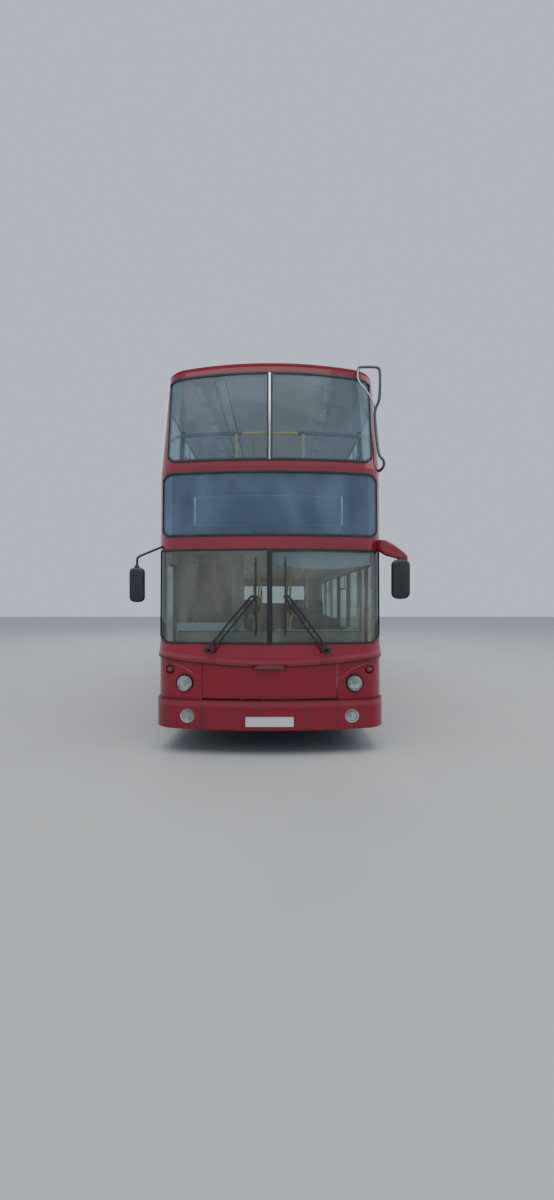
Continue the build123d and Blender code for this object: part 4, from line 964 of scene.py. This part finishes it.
# Poles: 34 mm yellow-coated tubes between floor and ceiling with screwed flanges, on both decks.
# Each has a dark bell push with a red button at hand height.
red_button = moulded("red_button", (0.42, 0.012, 0.012), 0.3, 200)
posts = []
pole_places = ((0.5, -3.1, 0.37, 2.27), (0.3, -1.68, 0.37, 2.27), (-0.3, -1.68, 0.37, 2.27), (0.3, 0.7, 0.37, 2.27),
    (-0.3, 0.7, 0.37, 2.27), (0.3, 2.6, 0.7, 2.27), (-0.3, 2.6, 0.7, 2.27), (-0.3, -1.9, 2.33, roof_under(0.3)),
    (0.3, 0.4, 2.33, roof_under(0.3)), (-0.3, 1.9, 2.33, roof_under(0.3)))
for x, y, z0, z1 in pole_places:
    posts += [
        bent_tube("tube", [(x, y, z0), (x, y, (z0 + z1) / 2), (x, y, z1 - 0.001)], 0.017, yellow_rail, sides=4),
        foot("low_flange", (x, y, z0 + 0.002), 0.042, (0, 0, 1), yellow_rail),
        foot("high_flange", (x, y, z1 - 0.003), 0.042, (0, 0, -1), yellow_rail),
        bar("push_box", (x - 0.024, y - 0.032, z0 + 1.08), (x + 0.024, y + 0.02, z0 + 1.18), black_plastic, 0.008),
        turned("button", (x, y - 0.031, z0 + 1.13), forward, [(0.016, 0), (0.016, 0.004), (0.012, 0.007)],
            red_button, 16),
        turned("collar", (x, y, z0 + 1.05), (0, 0, 1),
            [(0.0175, 0), (0.021, 0.003), (0.021, 0.15), (0.0175, 0.153)], black_plastic, 16),
    ]
grouped("poles", posts, "yellow_rail")
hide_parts("handrails")
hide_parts("handrails")


# Seat cloth: blue moquette with a small woven check of grey and red, and a dark vinyl for the piping.
# The pile is short; it is rubbed paler where people sit.
moquette = Coat("moquette", Sheen_Weight=0.25)
x, y, z = moquette.split(moquette.spot)
pile = moquette.noise(420, 2)
warp_way = (x * 150).wave()
weft_way = ((y + z) * 150).wave()
check = (warp_way * weft_way).fade(0.15, 0.5)
fleck = moquette.cells(60, out="Color")
speck = moquette.split(fleck)[1].fade(0.8, 0.86)
cloth_tone = moquette.blend((0.018, 0.03, 0.085), (0.035, 0.055, 0.13), check)
cloth_tone = moquette.blend(cloth_tone, (0.2, 0.035, 0.045), speck * 0.75)
cloth_tone = moquette.blend(cloth_tone, (0.13, 0.14, 0.17), moquette.noise(5, 4).fade(0.5, 0.9) * 0.35)
moquette.finish(Base_Color=cloth_tone, Roughness=pile * 0.12 + 0.82,
    Normal=moquette.relief(pile + check * 0.4, 0.0012, 0.6))
seat_vinyl = moulded("seat_vinyl", (0.03, 0.034, 0.045), 0.5, 900)
seat_shell = moulded("seat_back_shell", (0.055, 0.075, 0.12), 0.42, 500)


def block_of(name, centre, size, corner):
    """A plain closed form to be padded: its upright corners rounded."""
    (x, y, z), (a, b, c) = centre, [half / 2 for half in size]
    return straight(name, "Z", (x, y),
        [(z - c, a * 0.97, b * 0.97), (z - c * 0.6, a, b), (z + c * 0.6, a, b), (z + c, a * 0.96, b * 0.96)],
        moquette.material, corner=corner)


def stuffed(pad, voxel, cap, rests):
    """Padding: the form is remeshed, blown up as cloth without weight, and held within the cap and off its rest."""
    modified(pad, "REMESH", mode="VOXEL", voxel_size=voxel)
    start = [point.co.copy() for point in pad.data.vertices]
    alone(pad)
    cloth = pad.modifiers.new("cloth", "CLOTH")
    cloth.settings.use_pressure = True
    cloth.settings.uniform_pressure_force = 4
    cloth.settings.effector_weights.gravity = 0
    for number in range(1, 21):
        bpy.context.scene.frame_set(number)
    bpy.ops.object.modifier_apply(modifier=cloth.name)
    bpy.context.scene.frame_set(1)
    for point, origin in zip(pad.data.vertices, start):
        move = point.co - origin
        if move.length > cap:
            move *= cap / move.length
        point.co = rests(origin + move)
    return smooth(pad, 80)


def lean(thing, angle, pivot):
    """Turns a piece about a line across the bus through the pivot."""
    with editing(thing):
        bpy.ops.transform.rotate(value=angle, orient_axis="X", center_override=pivot)
    return thing


def twin_of(thing):
    """A copy of a piece with its own mesh."""
    twin = linked(thing.copy())
    twin.data = thing.data.copy()
    return twin


def repeated(thing, places):
    """A copy of a piece, with its own mesh, at each place: moved, mirrored across and joined into one."""
    copies = []
    for side, x, y, z in places:
        twin = twin_of(thing)
        for point in twin.data.vertices:
            point.co = (side * point.co.x + x, point.co.y + y, point.co.z + z)
        copies.append(flipped(twin) if side < 0 else twin)
    name = thing.name
    bpy.data.objects.remove(thing)
    return joined(name, copies)


# Passenger seats: each double seat is a moulded shell on a steel leg, with two padded squabs and two padded backs.
# One seat is modelled at the origin, its pads blown up as cloth, then it is copied along the rows.
rows = []
blocks = ((1, -1.4, 0.7, 5, 0.37, 0.37), (-1, -1.4, 0.7, 3, 0.37, 0.37), (1, 2.19, 1.4, 2, 0.7, 0.7),
    (-1, 2.19, 1.4, 2, 0.7, 0.7), (1, 2.88, 0.7, 1, 0.7, 0.99), (-1, 2.88, 0.7, 1, 0.7, 0.99),
    (1, -4.15, 0.74, 12, 2.33, 2.33), (-1, -4.15, 0.74, 1, 2.33, 2.33), (-1, -1.56, 0.74, 8, 2.33, 2.33))
for side, first, pitch, count, floor, step in blocks:
    rows += [(side, first + pitch * number, floor, step) for number in range(count)]
squab = block_of("seat_squabs", (0, -0.025, 0.434), (0.395, 0.375, 0.052), 0.06)
stuffed(squab, 0.026, 0.016, lambda spot: Vector((spot.x, spot.y, max(spot.z, 0.404))))
lean(squab, radians(4), (0, 0, 0.43))
back = straight("seat_backs", "Y", (0, 0.725),
    [(0.184, 0.186, 0.238), (0.192, 0.194, 0.248), (0.206, 0.194, 0.248), (0.212, 0.19, 0.244)], moquette.material,
    corner=0.07)
stuffed(back, 0.026, 0.016, lambda spot: Vector((spot.x, min(spot.y, 0.214), spot.z)))
lean(back, radians(-8), (0, 0.21, 0.45))
pans = [
    drawn_out("pan", "X", [((-0.424, -0.03, 0.398), (0.205, 0.006)), ((-0.36, -0.03, 0.396), (0.212, 0.005)),
        ((0.36, -0.03, 0.396), (0.212, 0.005)), ((0.424, -0.03, 0.398), (0.205, 0.006))], seat_shell, 0.002),
    straight("rear_shell", "Y", (0, 0.725), [(0.216, 0.424, 0.268), (0.222, 0.424, 0.268), (0.232, 0.412, 0.256)],
        seat_shell, corner=0.08),
]
lean(pans[1], radians(-8), (0, 0.21, 0.45))
for x in (-0.185, 0.185):
    pans.append(bar("beam", (x - 0.02, -0.215, 0.374), (x + 0.02, 0.215, 0.394), chassis_black, 0.003))
for x in (-0.41495, 0, 0.41495):
    run = ((-0.214, 0.412), (0.0, 0.411), (0.17, 0.41), (0.205, 0.5), (0.245, 0.75), (0.275, 0.955))
    pans.append(bent_tube("piping", [(x, *place) for place in run], 0.0055, seat_vinyl, sides=1))
pans.append(bent_tube("grab", [(-0.33, 0.282, 0.965), (-0.335, 0.29, 1.035), (-0.37, 0.292, 1.055),
    (-0.405, 0.288, 1.03), (-0.41, 0.28, 0.955)], 0.012, yellow_rail, sides=2))
shells = joined("seat_shells", pans)
centre = (0.33 + 1.18) / 2
for pad in (squab, back):
    halves = [(side, side * centre + part * 0.213, y, floor) for side, y, floor, step in rows for part in (-1, 1)]
    fitted(repeated(pad, halves), "body", stands_for=["seats"])
fitted(repeated(shells, [(side, side * centre, y, floor) for side, y, floor, step in rows]), "body",
    stands_for=["seats"])
legs = []
for tall, height in (("high", 0.0), ("low", 0.29)):
    leg = joined("leg_" + tall, [
        *(straight("post", "Z", (x, -0.035), [(height, 0.03, 0.055), (0.375, 0.022, 0.022)], chassis_black, 0.006)
            for x in (-0.14, 0.14)),
        bar("plate", (-0.19, -0.1, height), (0.19, 0.03, height + 0.01), chassis_black, 0.003),
        bar("top", (-0.215, -0.075, 0.368), (0.215, 0.005, 0.392), chassis_black, 0.004),
    ])
    stands = [row for row in rows if (row[3] > row[2]) == (tall == "low")]
    legs.append(repeated(leg, [(1, side * centre, y, floor) for side, y, floor, step in stands]))
grouped("seat_legs", legs, "chassis_black", "seats")


# Driver's seat: a sprung base in a rubber gaiter, with a deep padded cushion and back.
# It is trimmed in the same moquette all round.
cushion = block_of("driver_cushion", (driver_x, -3.95, 0.876), (0.425, 0.385, 0.078), 0.06)
fitted(stuffed(cushion, 0.016, 0.022, lambda spot: Vector((spot.x, spot.y, max(spot.z, 0.822)))), "body",
    moquette.material, ["driver_seat"])
rest = straight("driver_back", "Y", (driver_x, 1.225),
    [(-3.79, 0.19, 0.32), (-3.775, 0.205, 0.335), (-3.745, 0.205, 0.335), (-3.735, 0.195, 0.325)],
    moquette.material, corner=0.09)
stuffed(rest, 0.016, 0.022, lambda spot: Vector((spot.x, min(spot.y, -3.728), spot.z)))
lean(rest, radians(-8), (driver_x, -3.76, 1.23))
fitted(rest, "body", moquette.material, ["driver_seat"])
folds = [(z, *sizes) for z, sizes in zip((0.6, 0.64, 0.68, 0.72, 0.76), ((0.198, 0.118), (0.186, 0.108)) * 3)]
stand = [
    straight("base", "Z", (driver_x, -3.94), [(0.511, 0.2, 0.12), (0.56, 0.19, 0.11), *folds, (0.8, 0.19, 0.12)],
        black_rubber, corner=0.03),
    bar("pan", (-0.99, -4.14, 0.798), (-0.57, -3.745, 0.828), black_plastic, 0.008),
    bent_tube("slide", [(-0.6, -4.15, 0.8), (-0.6, -4.17, 0.79), (-0.68, -4.17, 0.79)], 0.007, bare_steel),
]
grouped("driver_stand", stand, "black_plastic", "driver_seat")


# Tyres: 10.00-size bus tyres with four grooves round the tread, cut shoulders and ribs on the side walls.
# Each stands for its own tyre solid; the pair at the rear is one piece on each side.
# A hub stands as high as its tyre's radius.
front_axle, rear_axle, hub_z = -2.42, 2.83, 0.4785


def tyre_rubber(name, y0):
    tyre = Coat(name)
    x, y, z = tyre.split(tyre.spot)
    square = (y - y0) * (y - y0) + (z - hub_z) * (z - hub_z)
    reach = square.math("SQRT", square)
    dusty = tyre.noise(9, 4)
    rings = (reach * 900).wave() * reach.between(0.33, 0.43, 0.01)
    shade = tyre.blend((0.016, 0.016, 0.017), (0.075, 0.07, 0.062), dusty.fade(0.35, 0.8) * 0.7)
    shade = tyre.blend(shade, (0.11, 0.1, 0.09), reach.fade(0.465, hub_z) * 0.5)
    return tyre.finish(Base_Color=shade, Roughness=dusty * 0.2 + 0.6,
        Normal=tyre.relief(rings + dusty * 0.4, 0.001, 0.6))


def tyre_round(name, x, y, half, finish):
    """One tyre about its wheel's middle; every other slice of its shoulders is cut back."""
    across = [(0.2905, -0.8), (0.3, -0.92), (0.33, -0.985), (0.385, -1.0), (0.425, -0.985), (0.448, -0.93),
        (0.462, -0.88), (0.4735, -0.8), (0.4775, -0.62)]
    for groove in (-0.44, -0.15, 0.15, 0.44):
        across += [(0.4783, groove - 0.055), (0.464, groove - 0.04), (0.464, groove + 0.04),
            (0.4783, groove + 0.055)]
    across += [(radius, -share) for radius, share in reversed(across[:9])]
    ring = turned(name, (x, y, hub_z), (1, 0, 0), [(radius, share * half) for radius, share in across], finish, 96)
    for point in ring.data.vertices:
        dy, dz = point.co.y - y, point.co.z - hub_z
        radius, share = hypot(dy, dz), abs(point.co.x - x) / half
        if round(atan2(dz, dy) / (2 * pi) * 96) % 2 and share > 0.7 and radius > 0.44:
            cut = 1 - 0.01 / radius
            point.co.y, point.co.z = y + dy * cut, hub_z + dz * cut
    with editing(ring):
        bpy.ops.mesh.select_mode(type="FACE")
        pick(ring, lambda middle, normal: abs(normal.x) > 0.99 and hypot(middle.y - y, middle.z - hub_z) < 0.05)
        bpy.ops.mesh.delete(type="ONLY_FACE")
        bpy.ops.mesh.select_mode(type="EDGE")
        bpy.ops.mesh.select_all(action="DESELECT")
        bpy.ops.mesh.select_non_manifold()
        bpy.ops.mesh.bridge_edge_loops()
        face_outward()
    return smooth(ring, 30)


front_rubber = tyre_rubber("tyre_rubber_front", front_axle)
rear_rubber = tyre_rubber("tyre_rubber_rear", rear_axle)
for word, side in (("left", 1), ("right", -1)):
    fitted(tyre_round("front_tyre_" + word, side * 1.05, front_axle, 0.1375, front_rubber), "wheel_front_" + word,
        stands_for=["tyre_front_" + word])
    pair = [tyre_round("rear_tyre_pair_" + word, side * x, rear_axle, half, rear_rubber)
        for x, half in ((1.092, 0.1375), (0.78, 0.13))]
    grouped("rear_tyre_pair_" + word, pair, "tyre", "tyres_rear_" + word, body="wheel_rear_" + word)


# Wheel fittings: ten nuts with stud ends round each hub, and a tyre valve.
# They ride on their own wheels.
for word, side in (("left", 1), ("right", -1)):
    for axle, x, y, ring, proud in (("front", 1.05, front_axle, 0.142, 0.15),
            ("rear", 1.092, rear_axle, 0.135, -0.144)):
        fittings = []
        nut = turned("nut", (side * (x + proud), y + ring, hub_z), (side, 0, 0),
            [(0.021, 0.0), (0.021, 0.005), (0.0165, 0.006), (0.0165, 0.024), (0.012, 0.027), (0.011, 0.04),
            (0.009, 0.042)], bare_steel, 12)
        for number in range(10):
            twin = twin_of(nut)
            turn = radians(36 * number)
            for point in twin.data.vertices:
                dy, dz = point.co.y - y, point.co.z - hub_z
                point.co.y = y + dy * cos(turn) - dz * sin(turn)
                point.co.z = hub_z + dy * sin(turn) + dz * cos(turn)
            fittings.append(twin)
        bpy.data.objects.remove(nut)
        valve = (side * (x + (0.075 if axle == "front" else 0.02)), y, hub_z + 0.225)
        fittings.append(turned("valve", valve, (side, 0, 0.25),
            [(0.006, 0), (0.006, 0.03), (0.004, 0.032), (0.004, 0.05)], bare_steel, 10))
        grouped(f"{axle}_wheel_nuts_{word}", fittings, "steel", body=f"wheel_{axle}_{word}")


# Interior light: two wide weak panels just over the decks, facing up.
# They stand for daylight thrown up from the road.
for z, power in ((2.45, 16), (0.6, 12)):
    panel_light("bounce", (0, -0.3, z), (pi, 0, 0), power, 1.6, 7.5)


# Hopper vents: the top quarter of some side panes slides in a slim dark aluminium frame.
# A bar crosses the pane, an upright overlaps in the middle and a small grip sits on it.
def on_side(side, y, z, *nodes):
    """How far out the body or its glass stands at this place along and up."""
    found = 0
    for node in nodes or ("side_glass", "lower_sides", "skirts", "upper_sides", "front_panel", "upper_front"):
        hit, place, normal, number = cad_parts[node].ray_cast(Vector((side * 3, y, z)), Vector((-side, 0, 0)))
        found = max(found, abs(place.x)) if hit else found
    return found or 1.26


def strip(name, side, y0, y1, z0, z1, proud, finish, soften=0.001):
    """A flat strip on the flank, from just under its surface to this much proud, leaning as the flank leans."""
    low, high = on_side(side, (y0 + y1) / 2, z0 + 0.002), on_side(side, (y0 + y1) / 2, z1 - 0.002)
    made = bar(name, (-0.003, y0, z0), (proud, y1, z1), finish, soften)
    for point in made.data.vertices:
        share = (point.co.z - z0) / (z1 - z0)
        point.co.x = side * (point.co.x + low + (high - low) * share)
    return flipped(made) if side < 0 else made


anodised = bright_metal("dark_anodised", (0.06, 0.062, 0.065), 0.35)
hoppers = []
vents = [(side, y, 1.88, 2.12) for side, y in ((1, -1.875), (1, 0.985), (-1, -1.875), (-1, 2.415))]
vents += [(side, y, 3.72, 3.95) for side in (1, -1) for y in (-3.305, -0.445, 2.415)]
for side, y0, z0, z1 in vents:
    y1, middle = y0 + 1.34, y0 + 0.67
    hoppers += [
        strip("sill", side, y0, y1, z0 - 0.016, z0 + 0.016, 0.007, anodised),
        strip("head", side, y0, y1, z1 - 0.018, z1 - 0.002, 0.005, anodised),
        strip("jamb", side, y0 + 0.002, y0 + 0.018, z0, z1, 0.005, anodised),
        strip("jamb", side, y1 - 0.018, y1 - 0.002, z0, z1, 0.005, anodised),
        strip("meet", side, middle - 0.012, middle + 0.012, z0, z1, 0.006, anodised),
        strip("grip", side, middle + 0.03, middle + 0.075, z0 + 0.06, z0 + 0.085, 0.012, black_plastic, 0.003),
    ]
grouped("hopper_vents", hoppers, "black_plastic")


# Flank trim: aluminium cover strips with rivets over the panel joints, a guard rail low on the skirt, marker lamps.
# The strips run the length of the bus at the waist, between the decks and under the roof.
def gutter(side, z, y0=-4.35, y1=4.6, tall=0.012):
    """A cover strip along the flank, in six lengths."""
    ends = [y0 + (y1 - y0) * number / 6 for number in range(7)]
    return [strip("gutter", side, a, b, z - tall / 2, z + tall / 2, 0.0035, trim_red, 0.0008)
        for a, b in zip(ends, ends[1:])]


trim_red = moulded("trim_red", (0.15, 0.004, 0.01), 0.35, 300)
rivet = turned("rivet", (0, 0, 0), (1, 0, 0), [(0.0045, -0.001), (0.0042, 0.0014), (0.0022, 0.0024)], trim_red, 8)
rivets, trim = [], []
joints = [(y, 0.01, 0.32, 1.14, 0.36, 0.092, 0.022) for y in (-1.3, -0.05, 1.2, 3.6, 4.3)]
joints += [(y, 0.009, 2.32, 3.17, 2.37, 0.095, 0.02) for y in (-1.92, -0.49, 0.94, 2.37, 3.8)]
for side in (-1, 1):
    trim += gutter(side, 2.3) + gutter(side, 4.1) + gutter(side, 1.15, -3.02 if side > 0 else -4.35)
    for y, half, z0, z1, first, pitch, aside in joints:
        trim.append(strip("joint", side, y - half, y + half, z0, z1, 0.0025, trim_red))
        for z in [first + pitch * number for number in range(9)]:
            rivets += [(side, side * on_side(side, along, z), along, z) for along in (y - aside, y + aside)]
    trim.append(strip("rail", side, -1.75, 2.22, 0.335, 0.372, 0.007, black_rubber, 0.003))
    for y in (-1.55, 0.4, 1.95, 3.75):
        at = (side * on_side(side, y, 0.62), y, 0.62)
        trim.append(turned("marker", at, (side, 0, 0), [(0.034, -0.003), (0.034, 0.005), (0.03, 0.009)],
            black_rubber, 20))
        trim.append(turned("marker_lens", at, (side, 0, 0), [(0.029, 0.004), (0.027, 0.013), (0.014, 0.017)], amber,
            20))
    at = (side * on_side(side, -4.42, 1.3), -4.46, 1.02)
    trim.append(turned("repeater", at, (side, 0, 0), [(0.03, -0.01), (0.03, 0.006), (0.016, 0.014)], amber, 20))
for axle, reach, low in ((front_axle, 0.594, 14), (rear_axle, 0.549, 15)):
    for side in (-1, 1):
        arc = [radians(-low + (180 + 2 * low) * n / 13) for n in range(14)]
        x = side * (on_side(side, axle, 1.13) - 0.001)
        trim.append(bent_tube("arch_lip", [(x, axle + reach * cos(a), hub_z + reach * sin(a)) for a in arc], 0.009,
            black_rubber, sides=2))
trim.append(repeated(rivet, rivets))
for y, z, wide, tall in ((3.95, 0.95, 0.22, 0.2), (-0.7, 0.62, 0.3, 0.26), (1.55, 0.66, 0.42, 0.3)):
    for side in (-1, 1):
        trim.append(strip("flap", side, y - wide / 2, y + wide / 2, z - tall / 2, z + tall / 2, 0.004, trim_red,
            0.003))
        x = on_side(side, y, z)
        for aside in (-1, 1):
            trim.append(turned("lock", (side * (x + 0.003), y + aside * wide * 0.4, z + tall * 0.36), (side, 0, 0),
                [(0.011, 0), (0.011, 0.004), (0.008, 0.006)], bare_steel, 14))
grouped("flank_trim", trim, "red_paint")


# Entrance doors: soft black finger guards where the leaves meet, edge rubbers and a yellow grab rail inside each.
# The pieces ride on their own leaves; the step edge below is a ribbed yellow nosing on the floor.
for word, y0, y1, meeting in (("front", -4.385, -3.803, 1), ("rear", -3.797, -3.215, -1)):
    edge = y1 if meeting > 0 else y0
    near, far = sorted((edge - meeting * 0.004, edge - meeting * 0.026))
    other = y0 if meeting > 0 else y1
    a, b = sorted((other + meeting * 0.003, other + meeting * 0.016))
    middle = (y0 + y1) / 2
    parts = [
        bar("guard", (1.2325, near, 0.41), (1.2375, far, 2.18), black_rubber, 0.0015),
        bar("edge", (1.2325, a, 0.41), (1.2365, b, 2.18), black_rubber, 0.001),
        bar("brush", (1.2325, y0 + 0.02, 0.405), (1.2372, y1 - 0.02, 0.43), black_rubber, 0.001),
        bent_tube("grab", [(1.194, middle - meeting * 0.12, 0.92), (1.172, middle - meeting * 0.12, 0.94),
            (1.17, middle - meeting * 0.12, 1.25), (1.172, middle - meeting * 0.12, 1.56),
            (1.194, middle - meeting * 0.12, 1.58)], 0.012, yellow_rail),
    ]
    grouped("door_trim_" + word, parts, "black_rubber", body="door_leaf_" + word)
nosing = [bar("nosing", (1.15, -4.44, 0.368), (1.19, -3.16, 0.3735), yellow_rail, 0.001)]
for number in range(4):
    nosing.append(bar("rib", (1.154 + 0.009 * number, -4.43, 0.3725), (1.158 + 0.009 * number, -3.17, 0.3755),
        black_rubber, 0.0006))
for number in range(5):
    y, z = -2.95 + 0.25 * number, 0.37 + 0.245 * (4 + number)
    nosing.append(bar("stair_nosing", (-1.18, y - 0.001, z - 0.003), (-0.57, y + 0.03, z + 0.002), yellow_rail,
        0.001))
grouped("step_nosings", nosing, "yellow_rail")


# Emergency door: a red pull handle in a dark recess and three strap hinges.
# They ride on the door; the hinges' fixed halves are the body's own.
exit_x = on_side(-1, 1.37, 1.1, "emergency_door")
exit_parts = [
    bar("recess", (-exit_x - 0.004, 1.68, 1.02), (-exit_x + 0.002, 1.78, 1.14), black_plastic, 0.003),
    bar("handle", (-exit_x - 0.014, 1.695, 1.065), (-exit_x - 0.003, 1.765, 1.092), red_button, 0.004),
]
for z in (0.6, 1.16, 2.05):
    exit_parts.append(bar("strap", (-exit_x - 0.004, 0.958, z - 0.022), (-exit_x + 0.002, 1.16, z + 0.022),
        trim_red, 0.002))
grouped("exit_handle", exit_parts, "black_plastic", body="emergency_door")


# Rear: four round lamps a side on black plates, reflectors, a louvred engine cover with a lift handle.
# Lamps are amber, red, red and clear from the top; the plate below stays blank in its dark surround.
backward = (0, 1, 0)
clear_lens = moulded("reverse_lens", (0.55, 0.55, 0.53), 0.22, 140)
ruby = moulded("ruby_lens", (0.3, 0.006, 0.008), 0.2, 150)
rear_lights = []
for side in (-1, 1):
    rear_lights.append(bar("plate", (side * 1.025 - 0.052, 4.845, 0.68), (side * 1.025 + 0.052, 4.888, 1.178),
        black_plastic, 0.012))
    for z, finish in ((0.756, clear_lens), (0.871, ruby), (0.986, ruby), (1.101, amber)):
        rear_lights.append(turned("bezel", (side * 1.025, 4.886, z), backward,
            [(0.05, -0.02), (0.05, 0.003), (0.047, 0.006), (0.044, 0.003)], lamp_ring, 28))
        rear_lights.append(turned("lens", (side * 1.025, 4.886, z), backward,
            [(0.043, -0.01), (0.043, 0.004), (0.036, 0.01), (0.016, 0.013)], finish, 28))
grouped("rear_lamp_units", rear_lights, "red_lens", "rear_lamps")


def on_back(x, z, node="engine_cover"):
    """How far back a node stands at this place across and up."""
    hit, place, normal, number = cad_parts[node].ray_cast(Vector((x, 7, z)), Vector((0, -1, 0)))
    return place.y if hit else 4.94


grille = []
for number in range(11):
    z = 0.74 + 0.04 * number
    y = on_back(0, z)
    grille.append(straight("louvre", "X", (y + 0.001, z),
        [(-0.62, 0.012, 0.004), (-0.6, 0.014, 0.005), (0.6, 0.014, 0.005), (0.62, 0.012, 0.004)], black_plastic))
handle_y = on_back(0, 0.64)
grille += [
    bar("frame", (-0.65, handle_y - 0.002, 0.705), (0.65, on_back(0, 0.72) + 0.004, 0.717), trim_red, 0.002),
    bar("frame", (-0.65, handle_y - 0.006, 1.163), (0.65, on_back(0, 1.17) + 0.004, 1.175), trim_red, 0.002),
    bar("lift", (-0.09, handle_y - 0.002, 0.618), (0.09, handle_y + 0.005, 0.662), black_plastic, 0.004),
]
grouped("cover_louvres", grille, "black_plastic", body="engine_cover")
back_trim = []
for side in (-1, 1):
    back_trim.append(turned("reflector", (side * 0.8, on_back(0.8, 0.47, "bumpers"), 0.47), backward,
        [(0.036, -0.02), (0.036, 0.003), (0.03, 0.006)], ruby, 24))
for z in (2.62, 1.52):
    ends = [-1.18 + 2.36 * number / 8 for number in range(9)]
    for a, b in zip(ends, ends[1:]):
        y = min(on_back(a, z, "rear_wall"), on_back(b, z, "rear_wall"))
        back_trim.append(bar("bead", (a, y - 0.02, z - 0.006), (b, y + 0.004, z + 0.006), trim_red, 0.001))
for x in (-0.2, 0.2):
    back_trim.append(bar("plate_lamp", (x - 0.04, 4.925, 0.492), (x + 0.04, 4.948, 0.512), black_plastic, 0.004))
y = on_back(0, 3.25, "rear_glass")
back_trim.append(bar("window_handle", (-0.1, y - 0.002, 3.235), (0.1, y + 0.01, 3.262), red_button, 0.004))
grouped("rear_trim", back_trim, "red_paint")


# Roof: crosswise cover strips over the panel joints and two low ventilator hatches.
# The strips follow the camber and are painted with the roof.
top_trim = []
for number in range(7):
    y = -3.6 + 1.28 * number
    arc = [(-1.08 + 0.27 * n, y, min(roof_under(-1.08 + 0.27 * n, 0.0), 4.3665)) for n in range(9)]
    top_trim.append(bent_tube("roof_strip", arc, 0.0035, trim_red, sides=2))
for y in (-2.3, 2.6):
    top_trim.append(straight("hatch", "Z", (0, y),
        [(4.352, 0.3, 0.3), (4.3655, 0.295, 0.295), (4.3695, 0.27, 0.27)], trim_red, corner=0.05))
grouped("roof_trim", top_trim, "red_paint")


# Under the floor: two air tanks, brake chambers, the exhaust with its box and tail pipe, and pipe runs.
# They hang from the frame members by straps.
under_parts = []
y = -1.2
for x in (0.15, -0.15):
    rings = [(0.04, -0.36), (0.075, -0.35), (0.09, -0.32), (0.09, 0.32), (0.075, 0.35), (0.04, 0.36)]
    under_parts.append(turned("air_tank", (x, y, 0.235), (0, 1, 0), rings, chassis_black, 28))
    for along in (-0.2, 0.2):
        under_parts.append(turned("tank_strap", (x, y + along, 0.235), (0, 1, 0),
            [(0.092, -0.014), (0.0935, 0), (0.092, 0.014)], bare_steel, 28))
        under_parts.append(bar("hanger", (x - 0.012, y + along - 0.012, 0.315),
            (x + 0.012, y + along + 0.012, 0.345), bare_steel, 0.002))
for side in (-1, 1):
    under_parts.append(turned("brake_chamber", (side * 0.45, 2.62, 0.5), (0, -1, 0),
        [(0.03, -0.05), (0.075, -0.04), (0.08, 0), (0.072, 0.05), (0.06, 0.12), (0.03, 0.13)], cast_iron, 24))
    under_parts.append(bent_tube("air_pipe",
        [(side * 0.36, -4.2, 0.3), (side * 0.36, -1.0, 0.295), (side * 0.37, 1.9, 0.3)], 0.008, black_plastic))
under_parts += [
    turned("silencer", (-0.3, 3.55, 0.36), (1, 0, 0),
        [(0.05, -0.3), (0.11, -0.28), (0.12, -0.26), (0.12, 0.26), (0.11, 0.28), (0.05, 0.3)], cast_iron, 28),
    bent_tube("exhaust", [(-0.05, 3.55, 0.36), (0.1, 3.6, 0.36), (0.14, 3.8, 0.42), (0.14, 4.02, 0.62)], 0.035,
        cast_iron),
    bent_tube("tail", [(-0.58, 3.55, 0.36), (-0.75, 3.6, 0.34), (-0.82, 3.9, 0.3), (-0.82, 4.4, 0.27),
        (-0.84, 4.62, 0.25)], 0.032, cast_iron),
]
grouped("under_fittings", under_parts, "chassis_black")


# Bumper top and surrounds: a dark red strip along the bumper's top as painted shade in its gap below the flap, a
# seam on either side of its middle, and dark frames.
# The frames go round the blank plates, ahead and behind.
shade_strip("bumper_painted_shade", "bumpers", lambda m, n: n.z > 0.6 and m.z > 0.53 and m.y < 0, 0.004)
surrounds = []
for side in (-1, 1):
    line = []
    for number in range(7):
        z = 0.305 + 0.045 * number
        hit, place, normal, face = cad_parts["bumpers"].ray_cast(Vector((side * 0.735, -6, z)),
            Vector((0, 1, 0)))
        line.append(Vector((side * 0.735, place.y if hit else -4.9, z)))
    surrounds.append(bent_tube("bumper_seam", line, 0.0018, black_rubber, sides=1))
for y, sign, z0, z1 in ((-4.9415, -1, 0.318, 0.429), (4.9405, 1, 0.37, 0.481)):
    for a, b, c, d in ((-0.266, 0.266, z1 - 0.001, z1 + 0.006), (-0.266, 0.266, z0 - 0.006, z0 + 0.001),
            (-0.266, -0.259, z0, z1), (0.259, 0.266, z0, z1)):
        near, far = sorted((y - sign * 0.006, y + sign * 0.0045))
        surrounds.append(bar("surround", (a, near, c), (b, far, d), black_plastic, 0.001))
grouped("plate_surrounds", surrounds, "black_plastic")
